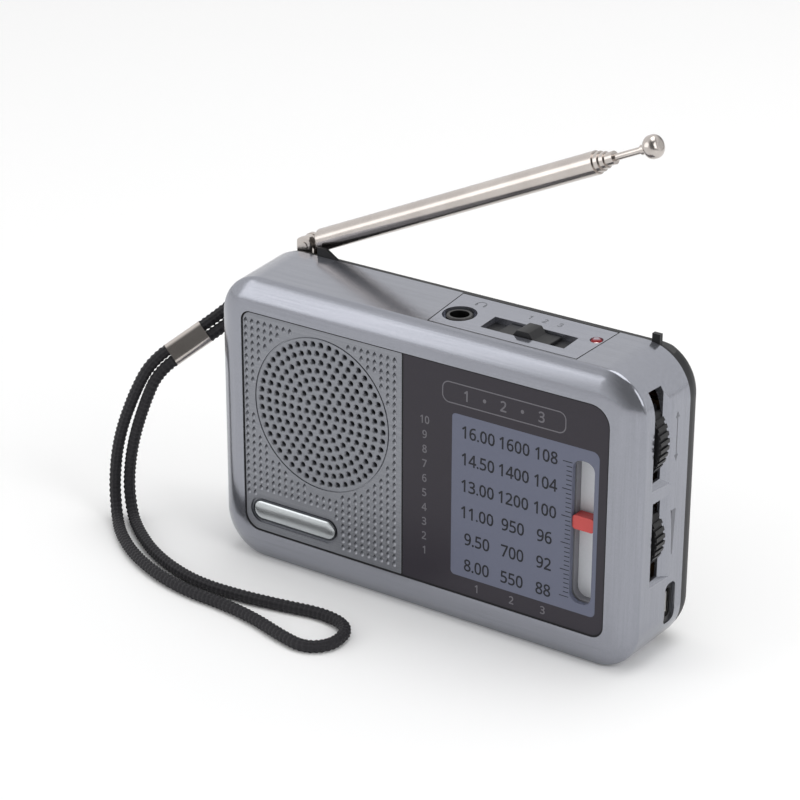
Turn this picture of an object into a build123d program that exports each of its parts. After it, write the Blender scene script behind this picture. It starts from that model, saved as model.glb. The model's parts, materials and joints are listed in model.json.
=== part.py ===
from build123d import *
import math
import os

os.makedirs("parts", exist_ok=True)

# Pocket shortwave receiver: a tapered front shell and a shallow back cover
# hold a loudspeaker, a tuner with a cord-driven pointer, and a flat battery.
# Millimetres. X runs to the right of someone who faces the dial, Y runs from
# the dial to the back, and Z is up. The origin lies under the middle of the
# base. A "depth" below is a distance behind the plane of the front face.

# ---------------------------------------------------------------- casing
width = 118.0
height = 74.0
depth = 28.0
corner_r = 12.0
cover_deep = 7.65       # from the seam to the back
draft = 1.17            # how much narrower the front is than the seam
bezel_r = 11.0
crease_depth = 3.0
crease_fillet = 1.3
front_wall = 1.8
side_wall = 2.4
floor_wall = 2.0
cover_step = 0.2
cover_fillet = 6.3
cover_wall = 1.8
ledge_drop = 2.3        # top plate's floor and the antenna's ledge below the top
fit_gap = 0.1           # gap round a part that is dropped into a pocket
touch = 0.05            # smallest gap between a part and what it covers

# --------------------------------------------------------- front panels
panel_side = 8.5        # painted rim beside the panels
panel_top = 8.7         # and above them
panel_low = 8.3
panel_split = -4.45
split_gap = 0.3
panel_pocket = 1.6
panel_sink = 0.3
corner_tl = 2.6
corner_bl = 4.2
corner_tr = 5.0
corner_br = 3.2

speaker_drop = 21.6     # loudspeaker's centre below the panels' top edge
speaker_r = 20.0
speaker_seat = 1.4      # width of the seat that its rim rests on
speaker_ring_t = 1.2
speaker_ring_h = 3.6
speaker_deep = 6.2      # from its seat to the magnet
speaker_hub_r = 10.0
voice_coil_r = 4.0
rim_w = 2.6
rim_t = 1.4
basket_t = 0.8
cone_set_back = 0.7
cone_deep = 2.5
cap_sink = 0.8
cap_lip = 0.6
surround_w = 2.8
paper_t = 0.3
magnet_r = 8.6
magnet_t = 4.4
magnet_fillet = 0.6
grille_ring_r = 19.05
grille_ring_w = 0.35
ring_groove_deep = 0.35
grille_rings = 8
grille_pitch = 2.2
grille_hole_r = 0.56

badge_inset = 14.6      # badge's centre from the panels' left edge
badge_up = 5.6          # and above their lower edge
badge_len = 24.8
badge_h = 5.55
badge_rim = 0.6
badge_sink = 0.5
badge_rise = 0.8

dial_slot_inset = 6.4   # slot's centre from the panels' right edge
dial_slot_w = 5.8
dial_slot_foot = 7.2    # slot's end above the panels' lower edge
dial_slot_head = 14.3   # and below their top edge
dial_slot_r = 2.4

# ------------------------------------------------------------ top plate
plate_x = 19.7
plate_front_w = 39.2
plate_rear_w = 41.5
plate_front = 3.7
plate_gap = 0.15
shelf_thick = 1.6
jack_offset = -15.35    # places along the plate, from its middle
switch_offset = 3.5
led_offset = 18.4
jack_recess_r = 4.05
jack_ring_r = 3.2
jack_ring_h = 3.2
jack_bore_r = 1.78
jack_mouth_r = 2.3
jack_body_w = 7.0
jack_body_d = 4.4
jack_body_h = 14.5
jack_bore_len = 13.0
switch_body_w = 26.0
switch_body_d = 5.2
switch_body_h = 4.6
switch_slot_w = 22.0
switch_slot_d = 6.3
switch_plate_t = 0.4
switch_knob_w = 5.4
switch_knob_rise = 0.5
switch_travel = 4.0
knob_rib_gap = 0.6
knob_rib_pitch = 1.3
knob_rib_deep = 0.5
stem_w = 3.0
stem_d = 2.0
stem_play = 0.2
stem_reach = 1.5        # how far the slider's stem enters the switch
led_depth = 14.3
led_r = 1.45
led_len = 6.3
lamp_rise = -1.2        # lamp's top below the casing's top
lamp_lip = 0.35
lamp_lip_h = 1.0
lamp_fillet = 0.9

# ---------------------------------------------------------- thumbwheels
wheel_gap = 1.7         # from the tuning wheel back to the circuit board
wheel_thick = 3.75
tuning_r = 11.0
tuning_drop = 18.7      # tuning wheel's centre below the casing's top
tuning_proud = 0.45     # past the casing's full width
tuning_ribs = 40
volume_r = 9.5
wheel_spacing = 23.6    # from one wheel's centre down to the other's
volume_proud = 0.1
volume_ribs = 34
volume_set_back = 0.55  # volume wheel behind the tuning wheel
slot_front_gap = 1.05
slot_rear_gap = 0.1
slot_end_gap = 0.6
slot_trim = 2.5         # how far the tuning slot's lower end is closed in
slot_spare = 1.5        # and its upper end is opened out
tuning_bevel = 2.1
volume_bevel = 2.7
bevel_deep = 1.2
tuning_foot_bevel = 1.5
volume_foot_bevel = 0.7
groove_w = 0.75
groove_deep = 0.45
wheel_hollow = 2.2
wheel_rim = 2.4
hub_wall = 2.2
shaft_r = 2.0
shaft_play = 0.03
shaft_hole_gap = 0.4    # round a shaft where it passes the circuit board

# ---------------------------------------------------- tuner and pointer
drum_r = 7.4
drum_lip = 0.6          # drum's flange past its groove
drum_flange_t = 0.4
drum_deep = 1.55
drum_gap = 0.6          # from the dial's tray back to the drum
centre_screw_r = 0.7
centre_screw_len = 2.9
centre_head_r = 1.9
centre_head_t = 0.6
centre_cross_len = 1.8
centre_cross_w = 0.4
shaft_grip = 1.9
shaft_end_gap = 0.3
string_r = 0.2
string_span = 5.05      # between the cord's two straight runs
pulley_flange_r = 2.7
pulley_flange_t = 0.4
pointer_z = 35.4
pointer_h = 3.4
pointer_fillet = 0.7
pointer_gap = 0.15      # between the pointer and the slot's sides
pointer_sink = 0.4      # its face behind the lens's face
pointer_deep = 2.9
arm_thick = 0.5
arm_h = 2.0
leg_w = 2.0
leg_h = 3.0
rod_r = 0.6
rod_offset = 0.35       # rod's line from the cord's line
rod_to_cord = 1.7
lug_w = 2.6
lug_h = 2.2
lug_gap = 0.2
lug_skin = 0.5
window_gap = 0.95       # shell's window clear of the tray and the pointer
window_end = 1.8
pulley_drop = 5.5       # pulleys' centres below and above the window
pulley_rise = 7.9
tray_wall = 0.8
tray_floor = 0.6
tray_channel = 2.1
strip_thick = 0.2
tray_flange_t = 0.6
tray_lap = 1.0          # tray's flange behind the shell's wall

# -------------------------------------------------------- circuit board
board_thick = 1.6
board_gap = 0.6         # from the board's edge to the casing's wall
board_low = 9.5
board_top_gap = 10.0
board_boss_r = 2.5
board_screw_deep = 5.0
board_head_r = 1.9
board_head_t = 1.2
tuner_side = 14.0
tuner_deep = 5.6
trimmer_r = 1.2
trimmer_pitch = 9.0
trimmer_deep = 0.6
pot_r = 6.0
pot_deep = 4.4
pot_tab_w = 5.0
pot_tab_h = 6.0
chip_w = 10.0
chip_h = 3.9
chip_deep = 1.6
chip_pitch = 1.27
chip_leads = 8
chip_lead = 1.0
chip_lead_w = 0.5
chip_lead_t = 0.4
can_side = 7.0
can_deep = 4.6
can_pitch = 10.0
can_core_r = 1.6
can_core_deep = 1.0
board_top_row = 4.5     # row of capacitors below the board's top edge
electrolytic_r = 2.5
electrolytic_deep = 4.6
electrolytic_pitch = 6.0
usb_z = 13.6
usb_w = 7.5
usb_h = 2.7
usb_len = 7.0
usb_r = 1.2
usb_wall = 0.3
usb_tongue_t = 0.7
usb_floor = 1.0
usb_recess_r = 1.5
usb_recess_w = 10.4
usb_recess_h = 4.1
usb_sink = 1.1
ferrite_r = 4.0
ferrite_len = 46.0
ferrite_wall_gap = 5.0  # from the rod's end to the casing's side
ferrite_z = 14.0
ferrite_rest = 4.6      # rod's front above the front wall's inner face
cradle_w = 2.4
cradle_cheek = 1.1
cradle_inset = 5.0
coil_len = 20.0
coil_thick = 0.5
coil_gap = 3.4          # from the rod's end to the circuit board

# -------------------------------------------------------------- battery
battery_w = 53.0
battery_h = 34.0
battery_t = 5.5
battery_r = 2.2
bay_x = 10.0
bay_gap = 0.4
door_lap = 1.5          # door past the battery on each side
door_t = 1.6
door_gap = 0.2
door_low = 9.5
tub_rim = 1.5
tub_floor = 1.2
contact_depth_in = 2.2  # contacts' front behind the bay's front
contact_set = 0.6
contact_w = 1.4
contact_h = 2.6
contact_pitch = 4.0
hinge_pin_r = 0.5
hinge_pin_len = 1.2
hinge_play = 0.05
grip_len = 14.0
grip_w = 0.8
grip_pitch = 1.6
grip_drop = 4.0
grip_deep = 0.5

# -------------------------------------------------------------- antenna
pivot_inset = 10.6      # from the casing's left side
pivot_rise = 2.95       # above the ledge
antenna_inset = 3.5     # antenna's axis in front of the back
antenna_tilt = 24.5     # degrees above the stowed, level position
tube_r = 2.75
tube_wall = 0.3
tube_step = 0.4
tube_count = 4
tube_start = 4.6
tube_ends = [87.2, 88.5, 89.8, 92.0]
first_base = 8.5
base_step = 2.0
bead_len = 1.0
lip_len = 0.6
slide_play = 0.03
whip_r = 0.8
whip_end = 100.4
knob_r = 2.7
knob_len = 3.9
knob_fillet = 1.7
knob_bore = 1.6         # whip's hold in the knob
neck_r = 1.15
neck_len = 1.1
fork_r = 2.3
fork_gap = 0.05
fork_turned_r = 2.9     # the fork is turned from bar of this radius
eye_t = 2.2
eye_r = 2.15
cheek_t = 1.1
neck_h = 3.0
plug_len = 3.4          # knuckle's plug inside the first tube
pivot_pin_r = 0.7
pin_head_r = 1.1
pin_head_t = 0.2
post_r = 2.3
post_len = 6.1
flange_lip = 0.4
flange_t = 0.6
ledge_front_gap = 3.1   # from the antenna's axis to the ledge's front wall
guard_offset = 5.4      # guard rib's left end from the antenna's pivot
guard_len = 5.6
guard_flat = 2.4
guard_rise = 2.0
stop_inset = 9.4        # end stop's middle from the casing's right side
stop_w = 2.0
stop_rise = 1.7

# ---------------------------------------------------------- wrist strap
cord_r = 1.45
bar_inset = 3.8
bar_drop = 14.0
bar_r = 0.9
bar_grip = 0.6          # bar's hold in the cover past the recess
recess_half = 4.8
recess_deep = 8.2
recess_w = 4.4
recess_wall = 1.4
recess_skin = 1.7       # cover left behind the recess
ferrule_len = 10.2
ferrule_w = 6.0
ferrule_t = 3.3

# -------------------------------------------------------------- fixings
screw_r = 1.0
screw_play = 0.3
screw_head_r = 2.1
screw_head_t = 1.5
screw_head_sink = 3.0
screw_tip_depth = 12.0
boss_r = 3.3
cross_len = 2.4
cross_w = 0.5
cross_deep = 0.7

# Places that follow from the sizes above.
front_y = -depth / 2
back_y = depth / 2
seam_depth = depth - cover_deep
ledge_z = height - ledge_drop
plate_low = ledge_z
shelf_low = plate_low - shelf_thick
plate_rear = seam_depth - 0.25
panel_left = panel_side - width / 2
panel_right = width / 2 - panel_side
panel_high = height - panel_top
speaker_x = (panel_left + panel_split) / 2
speaker_z = panel_high - speaker_drop
badge_x = panel_left + badge_inset
badge_z = panel_low + badge_up
dial_slot_x = panel_right - dial_slot_inset
dial_slot_low = panel_low + dial_slot_foot
dial_slot_high = panel_high - dial_slot_head

# The inner parts are stacked backwards from the lens, and the battery bay
# forwards from the back.
shell_floor = panel_pocket + front_wall
arm_front = panel_pocket + fit_gap
tray_front = arm_front + arm_thick + fit_gap
channel_floor = tray_front + tray_channel
tray_back = channel_floor + tray_floor
drum_front = tray_back + drum_gap
string_depth = drum_front + drum_flange_t + string_r + fit_gap
rod_depth = string_depth - rod_to_cord
wheel_front = drum_front + drum_deep
volume_front = wheel_front + volume_set_back
board_front = wheel_front + wheel_thick + wheel_gap
board_back = board_front + board_thick
ferrite_depth = shell_floor + ferrite_rest + ferrite_r
usb_depth = board_back + usb_h / 2 + touch
door_front = depth - door_t
bay_front = door_front - bay_gap - battery_t - bay_gap
jack_depth = board_front - jack_body_d / 2
switch_depth = board_front - switch_body_d / 2
door_w = battery_w + 2 * door_lap
door_h = battery_h + 2 * door_lap
door_mid_z = door_low + door_h / 2

stem_slot_w = 2 * (switch_travel + stem_play) + stem_w
stem_slot_d = stem_d + 2 * stem_play
jack_x = plate_x + jack_offset
switch_x = plate_x + switch_offset
led_x = plate_x + led_offset
tuning_x = width / 2 + tuning_proud - tuning_r
tuning_z = height - tuning_drop
volume_x = width / 2 + volume_proud - volume_r
volume_z = tuning_z - wheel_spacing
pivot_x = pivot_inset - width / 2
pivot_z = ledge_z + pivot_rise
post_low = ledge_z - post_len
antenna_depth = depth - antenna_inset
ledge_depth = antenna_depth - ledge_front_gap
bar_x = bar_inset - width / 2
bar_z = height - bar_drop
recess_back = depth - recess_skin
recess_front = recess_back - recess_w
bar_front = recess_front - bar_grip
bar_back = recess_back + bar_grip
screw_head_depth = depth - screw_head_sink
screw_places = [
    (13.0 - width / 2, 4.9),
    (width / 2 - 13.0, 4.9),
    (speaker_x - 0.5, height - 5.5),
    (width / 2 - 14.5, height - 5.5),
]


def at_depth(distance):
    """Plane that faces the front, a distance behind the front face."""
    return Plane.XZ.offset(-(front_y + distance))


def y_at(distance):
    """Y of a point that lies a distance behind the front face."""
    return front_y + distance


def facing(x, z, distance):
    """Plane that faces the front, with its origin at a place of its own."""
    return Plane(origin=(x, y_at(distance), z), x_dir=(1, 0, 0), z_dir=(0, -1, 0))


def inset_at(distance):
    """How far the drafted walls stand in from the seam's size."""
    return draft * (1 - distance / seam_depth)



# The tapered outline and the domed front, whose overlap is the front shell.
crease_inset = inset_at(crease_depth)
dome_reach = bezel_r - math.sqrt(bezel_r**2 - (bezel_r - crease_depth) ** 2)

with BuildPart() as dome:
    with BuildSketch(at_depth(0)):
        with Locations((0, (height - crease_inset) / 2)):
            RectangleRounded(
                width - 2 * crease_inset + 2 * dome_reach,
                height - crease_inset + 2 * dome_reach,
                corner_r - crease_inset + dome_reach,
            )
    extrude(amount=-seam_depth)
    fillet(dome.faces().sort_by(Axis.Y)[0].edges(), bezel_r)

with BuildPart() as taper:
    with BuildSketch(at_depth(0)):
        with Locations((0, (height - draft) / 2)):
            RectangleRounded(width - 2 * draft, height - draft, corner_r - draft)
    with BuildSketch(at_depth(seam_depth)):
        with Locations((0, height / 2)):
            RectangleRounded(width, height, corner_r)
    loft(ruled=True)

with BuildPart() as outer_form:
    add(taper.part)
    add(dome.part, mode=Mode.INTERSECT)
    crease = outer_form.edges().filter_by_position(
        Axis.Y, y_at(crease_depth) - 0.05, y_at(crease_depth) + 0.05
    )
    fillet(crease, crease_fillet)


def panel_outline(gap, left, right):
    """The two panels' shared outline, cut to the part between left and right."""
    with BuildSketch(mode=Mode.PRIVATE) as outline:
        with Locations(((panel_left + panel_right) / 2, (panel_low + panel_high) / 2)):
            Rectangle(panel_right - panel_left - 2 * gap, panel_high - panel_low - 2 * gap)
        corners = outline.vertices().group_by(Axis.Y)
        low = corners[0].sort_by(Axis.X)
        high = corners[-1].sort_by(Axis.X)
        fillet(low[0], corner_bl - gap)
        fillet(outline.vertices().group_by(Axis.Y)[0].sort_by(Axis.X)[-1], corner_br - gap)
        top_left = outline.vertices().group_by(Axis.Y)[-1].sort_by(Axis.X)[0]
        fillet(top_left, corner_tl - gap)
        top_right = outline.vertices().group_by(Axis.Y)[-1].sort_by(Axis.X)[-1]
        fillet(top_right, corner_tr - gap)
        with Locations(((left + right) / 2, (panel_low + panel_high) / 2)):
            Rectangle(right - left, panel_high - panel_low, mode=Mode.INTERSECT)
    return outline.sketch


# ---------------------------------------------------------- front shell
cavity_high = height - side_wall
string_turn_r = drum_r + string_r + 0.2
string_right_x = tuning_x - string_turn_r
string_left_x = string_right_x - string_span
pulley_x = (string_right_x + string_left_x) / 2
rod_x = string_left_x + rod_offset
tray_left = dial_slot_x - dial_slot_w / 2 - tray_wall
tray_right = dial_slot_x + dial_slot_w / 2 + tray_wall
tray_low = dial_slot_low - tray_wall
tray_high = dial_slot_high + tray_wall
window_left = rod_x - leg_w / 2 - window_gap
window_right = tray_right + window_gap
window_low = tray_low - window_end
window_high = tray_high + window_end
pulley_low_z = window_low - pulley_drop
pulley_high_z = window_high + pulley_rise


def wheel_slot(front, low, high, bevel, low_bevel):
    """Slot through the right wall, bevelled towards the rear and the bottom."""
    back = front + slot_front_gap + wheel_thick + slot_rear_gap
    wall_x = width / 2 - inset_at(back)
    reach = 2.0
    grow = reach / bevel_deep
    with BuildPart(mode=Mode.PRIVATE) as slot:
        with BuildSketch(Plane.YZ.offset(wall_x - 8)):
            with Locations((y_at((front + back) / 2), (low + high) / 2)):
                Rectangle(back - front, high - low)
        extrude(amount=8)
        with BuildSketch(Plane.YZ.offset(wall_x - bevel_deep)):
            with Locations((y_at((front + back) / 2), (low + high) / 2)):
                Rectangle(back - front, high - low)
        with BuildSketch(Plane.YZ.offset(wall_x - bevel_deep + reach)):
            rear = back + bevel * grow
            foot = low - low_bevel * grow
            with Locations((y_at((front + rear) / 2), (foot + high) / 2)):
                Rectangle(rear - front, high - foot)
        loft(ruled=True)
    return slot.part


tuning_slot = wheel_slot(
    wheel_front - slot_front_gap,
    tuning_z - tuning_r - slot_end_gap + slot_trim,
    tuning_z + tuning_r + slot_end_gap + slot_spare,
    tuning_bevel,
    tuning_foot_bevel,
)
volume_slot = wheel_slot(
    volume_front - slot_front_gap,
    volume_z - volume_r - slot_end_gap,
    volume_z + volume_r + slot_end_gap,
    volume_bevel,
    volume_foot_bevel,
)

board_left = ferrite_wall_gap - width / 2 + ferrite_len + coil_gap
board_right = width / 2 - side_wall - board_gap
board_high = height - board_top_gap
board_screw_places = [
    (board_left + 2.6, board_low + 3.5),
    (board_left + 2.4, board_high - 3.5),
    (board_right - 24.0, board_high - 4.5),
    (board_right - 28.0, board_low + 3.0),
]
ferrite_left = ferrite_wall_gap - width / 2
ferrite_x = ferrite_left + ferrite_len / 2


def plate_outline(gap, rear):
    """Top plate's outline seen from above, wider at the back than the front."""
    front_half = plate_front_w / 2 + gap
    rear_half = plate_rear_w / 2 + gap
    with BuildSketch(mode=Mode.PRIVATE) as outline:
        with BuildLine():
            Polyline(
                (plate_x - front_half, y_at(plate_front - gap)),
                (plate_x + front_half, y_at(plate_front - gap)),
                (plate_x + rear_half, y_at(rear)),
                (plate_x - rear_half, y_at(rear)),
                close=True,
            )
        make_face()
    return outline.sketch


with BuildPart() as front_shell:
    add(outer_form.part)
    with BuildSketch(at_depth(0)):
        add(panel_outline(0, panel_left, panel_right))
    extrude(amount=-panel_pocket, mode=Mode.SUBTRACT)
    with BuildSketch(at_depth(shell_floor)):
        with Locations((0, (floor_wall + cavity_high) / 2)):
            RectangleRounded(width - 2 * side_wall, cavity_high - floor_wall, corner_r - side_wall)
    extrude(amount=shell_floor - seam_depth, mode=Mode.SUBTRACT)
    with BuildSketch(at_depth(panel_pocket)):
        with Locations((speaker_x, speaker_z)):
            Circle(speaker_r - speaker_seat)
        with Locations(((window_left + window_right) / 2, (window_low + window_high) / 2)):
            Rectangle(window_right - window_left, window_high - window_low)
    extrude(amount=-front_wall, mode=Mode.SUBTRACT)

    # Locating ring for the loudspeaker and the shelf under the top plate.
    with BuildSketch(at_depth(shell_floor)):
        with Locations((speaker_x, speaker_z)):
            Circle(speaker_r + fit_gap + speaker_ring_t)
            Circle(speaker_r + fit_gap, mode=Mode.SUBTRACT)
    extrude(amount=-speaker_ring_h)
    with BuildSketch(at_depth(shell_floor)):
        with Locations((plate_x, (shelf_low + cavity_high) / 2)):
            Rectangle(plate_rear_w + 2 * side_wall, cavity_high - shelf_low)
    extrude(amount=shell_floor - seam_depth)

    # Bosses for the case screws, the circuit board and the pointer's rod.
    with BuildSketch(at_depth(seam_depth)):
        with Locations(*screw_places[:3]):
            Circle(boss_r)
    extrude(amount=seam_depth - shell_floor)
    with BuildSketch(at_depth(seam_depth)):
        with Locations(screw_places[3]):
            Circle(boss_r)
    extrude(amount=seam_depth - screw_tip_depth)
    with BuildSketch(at_depth(shell_floor)):
        with Locations(*board_screw_places):
            Circle(board_boss_r)
    extrude(amount=shell_floor - board_front)
    with BuildSketch(at_depth(shell_floor)):
        with Locations(
            (rod_x, window_low - lug_gap - lug_h / 2),
            (rod_x, window_high + lug_gap + lug_h / 2),
        ):
            Rectangle(lug_w, lug_h)
    extrude(amount=shell_floor - rod_depth - rod_r - lug_skin)

    # Cradles that carry the ferrite rod on a flat rest between two cheeks.
    with BuildSketch(facing(ferrite_x, ferrite_z, shell_floor)):
        with GridLocations(ferrite_len - 2 * cradle_inset, 0, 2, 1):
            Rectangle(cradle_w, 2 * (ferrite_r + fit_gap + cradle_cheek))
    extrude(amount=shell_floor - ferrite_depth)
    with BuildSketch(facing(ferrite_x, ferrite_z, ferrite_depth - ferrite_r)):
        Rectangle(ferrite_len, 2 * (ferrite_r + fit_gap))
    extrude(amount=-ferrite_r, mode=Mode.SUBTRACT)

    # Pilot holes and the hole for the pointer's rod.
    with BuildSketch(at_depth(seam_depth)):
        with Locations(*screw_places):
            Circle(screw_r)
    extrude(amount=seam_depth - screw_tip_depth, mode=Mode.SUBTRACT)
    with BuildSketch(at_depth(board_front)):
        with Locations(*board_screw_places):
            Circle(screw_r)
    extrude(amount=board_screw_deep, mode=Mode.SUBTRACT)
    with BuildSketch(Plane.XY.offset(window_low - lug_gap - lug_h)):
        with Locations((rod_x, y_at(rod_depth))):
            Circle(rod_r)
    extrude(amount=window_high - window_low + 2 * (lug_gap + lug_h), mode=Mode.SUBTRACT)

    # Recess for the top plate, and the holes below it.
    with BuildSketch(Plane.XY.offset(plate_low)):
        add(plate_outline(plate_gap, seam_depth))
    extrude(amount=height - plate_low, mode=Mode.SUBTRACT)
    with BuildSketch(Plane.XY.offset(plate_low)):
        with Locations((jack_x, y_at(jack_depth))):
            Circle(jack_ring_r + fit_gap)
        with Locations((led_x, y_at(led_depth))):
            Circle(led_r + fit_gap)
        with Locations((switch_x, y_at(switch_depth))):
            Rectangle(stem_slot_w, stem_slot_d)
    extrude(amount=shelf_low - plate_low, mode=Mode.SUBTRACT)

    # Side openings: two thumbwheels and the charging socket.
    add(tuning_slot, mode=Mode.SUBTRACT)
    add(volume_slot, mode=Mode.SUBTRACT)
    usb_wall_x = width / 2 - inset_at(usb_depth)
    with BuildSketch(Plane.YZ.offset(usb_wall_x - usb_sink)):
        with Locations((y_at(usb_depth), usb_z)):
            RectangleRounded(usb_recess_h, usb_recess_w, usb_recess_r)
    extrude(amount=usb_sink + 1, mode=Mode.SUBTRACT)
    with BuildSketch(Plane.YZ.offset(usb_wall_x - usb_sink)):
        with Locations((y_at(usb_depth), usb_z)):
            RectangleRounded(usb_h + 2 * fit_gap, usb_w + 2 * fit_gap, usb_r + fit_gap)
    extrude(amount=-side_wall, mode=Mode.SUBTRACT)
front_shell.part.label = "front_shell"
export_step(front_shell.part, "parts/front_shell.step")

# --------------------------------------------------------- front panels
with BuildPart() as grille_plate:
    with BuildSketch(at_depth(panel_sink)):
        add(panel_outline(fit_gap, panel_left, panel_split - split_gap / 2))
    extrude(amount=panel_sink - panel_pocket + touch)
    with BuildSketch(at_depth(panel_sink)):
        with Locations((speaker_x, speaker_z)):
            Circle(grille_ring_r + grille_ring_w)
            Circle(grille_ring_r, mode=Mode.SUBTRACT)
    extrude(amount=-ring_groove_deep, mode=Mode.SUBTRACT)
    with BuildSketch(at_depth(panel_sink)):
        with Locations((badge_x, badge_z)):
            SlotOverall(badge_len + 2 * badge_rim, badge_h + 2 * badge_rim)
    extrude(amount=-badge_sink, mode=Mode.SUBTRACT)
    with BuildSketch(facing(speaker_x, speaker_z, panel_sink)):
        RegularPolygon(grille_hole_r, 6)
        for ring in range(1, grille_rings + 1):
            with PolarLocations(ring * grille_pitch, 6 * ring):
                RegularPolygon(grille_hole_r, 6)
    extrude(amount=-panel_pocket, mode=Mode.SUBTRACT)
grille_plate.part.label = "grille_plate"
export_step(grille_plate.part, "parts/grille_plate.step")

with BuildPart() as badge:
    with BuildSketch(at_depth(panel_sink + badge_sink)):
        with Locations((badge_x, badge_z)):
            SlotOverall(badge_len, badge_h)
    extrude(amount=badge_rise)
    fillet(badge.faces().sort_by(Axis.Y)[0].edges(), badge_rise - fit_gap)
badge.part.label = "badge"
export_step(badge.part, "parts/badge.step")

with BuildPart() as dial_lens:
    with BuildSketch(at_depth(panel_sink)):
        add(panel_outline(fit_gap, panel_split + split_gap / 2, panel_right))
    extrude(amount=panel_sink - panel_pocket + touch)
    with BuildSketch(at_depth(0)):
        with Locations((dial_slot_x, (dial_slot_low + dial_slot_high) / 2)):
            RectangleRounded(dial_slot_w, dial_slot_high - dial_slot_low, dial_slot_r)
    extrude(amount=-panel_pocket, mode=Mode.SUBTRACT)
dial_lens.part.label = "dial_lens"
export_step(dial_lens.part, "parts/dial_lens.step")

# Tray behind the slot: a channel that the pointer runs in, with a pale strip
# on its floor. A flange behind the shell's wall holds it.
slot_mid_z = (dial_slot_low + dial_slot_high) / 2
with BuildPart() as dial_backing:
    with BuildSketch(at_depth(tray_front)):
        with Locations(((tray_left + tray_right) / 2, (tray_low + tray_high) / 2)):
            Rectangle(tray_right - tray_left, tray_high - tray_low)
    extrude(amount=tray_front - tray_back)
    with BuildSketch(at_depth(shell_floor)):
        with Locations(
            ((tray_left + window_right + tray_lap) / 2, (window_low + window_high) / 2)
        ):
            Rectangle(
                window_right + tray_lap - tray_left, window_high - window_low + 2 * tray_lap
            )
    extrude(amount=-tray_flange_t)
    with BuildSketch(at_depth(tray_front)):
        with Locations((dial_slot_x, slot_mid_z)):
            RectangleRounded(dial_slot_w, dial_slot_high - dial_slot_low, dial_slot_r)
    extrude(amount=-tray_channel, mode=Mode.SUBTRACT)
dial_backing.part.label = "dial_backing"
export_step(dial_backing.part, "parts/dial_backing.step")

with BuildPart() as dial_strip:
    with BuildSketch(at_depth(channel_floor)):
        with Locations((dial_slot_x, slot_mid_z)):
            RectangleRounded(
                dial_slot_w - 2 * touch,
                dial_slot_high - dial_slot_low - 2 * touch,
                dial_slot_r - touch,
            )
    extrude(amount=strip_thick)
dial_strip.part.label = "dial_strip"
export_step(dial_strip.part, "parts/dial_strip.step")

# ------------------------------------------------- pointer and its drive
pointer_w = dial_slot_w - 2 * pointer_gap
pointer_front = panel_sink + pointer_sink
leg_left = rod_x - leg_w / 2
arm_right = dial_slot_x

with BuildPart() as pointer:
    # The block that shows in the slot, and the arm behind the lens.
    with BuildSketch(facing(dial_slot_x, pointer_z, pointer_front)):
        RectangleRounded(pointer_w, pointer_h, pointer_fillet)
    extrude(amount=-pointer_deep)
    with BuildSketch(facing((leg_left + arm_right) / 2, pointer_z, arm_front)):
        Rectangle(arm_right - leg_left, arm_h)
    extrude(amount=-arm_thick)

    # The leg that slides on the rod and grips the cord.
    with BuildSketch(facing(rod_x, pointer_z, arm_front)):
        Rectangle(leg_w, leg_h)
    extrude(amount=arm_front - string_depth - string_r - arm_thick)
    with BuildSketch(Plane.XY.offset(pointer_z - leg_h)):
        with Locations((rod_x, y_at(rod_depth))):
            Circle(rod_r + slide_play)
    extrude(amount=2 * leg_h, mode=Mode.SUBTRACT)
    with BuildSketch(Plane.XY.offset(pointer_z - leg_h)):
        with Locations((string_left_x, y_at(string_depth))):
            Circle(string_r + slide_play)
    extrude(amount=2 * leg_h, mode=Mode.SUBTRACT)
pointer.part.label = "pointer"
export_step(pointer.part, "parts/pointer.step")

with BuildPart() as pointer_rod:
    with BuildSketch(Plane.XY.offset(window_low - lug_gap - lug_h)):
        with Locations((rod_x, y_at(rod_depth))):
            Circle(rod_r)
    extrude(amount=window_high - window_low + 2 * (lug_gap + lug_h))
pointer_rod.part.label = "pointer_rod"
export_step(pointer_rod.part, "parts/pointer_rod.step")

groove_r = string_span / 2 - string_r
with BuildPart() as cord_pulleys:
    for pulley_z in (pulley_low_z, pulley_high_z):
        with BuildSketch(at_depth(shell_floor)):
            with Locations((pulley_x, pulley_z)):
                Circle(groove_r)
        extrude(amount=shell_floor - string_depth - string_r - touch)
        with BuildSketch(at_depth(shell_floor)):
            with Locations((pulley_x, pulley_z)):
                Circle(pulley_flange_r)
        extrude(amount=shell_floor - string_depth + string_r + touch)
        with BuildSketch(at_depth(string_depth + string_r + touch)):
            with Locations((pulley_x, pulley_z)):
                Circle(pulley_flange_r)
        extrude(amount=-pulley_flange_t)
cord_pulleys.part.label = "cord_pulleys"
export_step(cord_pulleys.part, "parts/cord_pulleys.step")

with BuildPart() as dial_cord:
    for run_x in (string_left_x, string_right_x):
        with BuildSketch(Plane.XY.offset(pulley_low_z)):
            with Locations((run_x, y_at(string_depth))):
                Circle(string_r)
        extrude(amount=pulley_high_z - pulley_low_z)
    for pulley_z, half_turn in ((pulley_low_z, -180), (pulley_high_z, 180)):
        with BuildSketch(Plane.XY.offset(pulley_z)):
            with Locations((string_left_x, y_at(string_depth))):
                Circle(string_r)
        revolve(axis=Axis((pulley_x, 0, pulley_z), (0, 1, 0)), revolution_arc=half_turn)
    # The turn round the drum lies one cord's width behind the straight run.
    with BuildSketch(Plane.XY.offset(tuning_z)):
        with Locations((string_right_x, y_at(string_depth + 2.2 * string_r))):
            Circle(string_r)
    revolve(axis=Axis((tuning_x, 0, tuning_z), (0, 1, 0)))
dial_cord.part.label = "dial_cord"
export_step(dial_cord.part, "parts/dial_cord.step")


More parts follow.
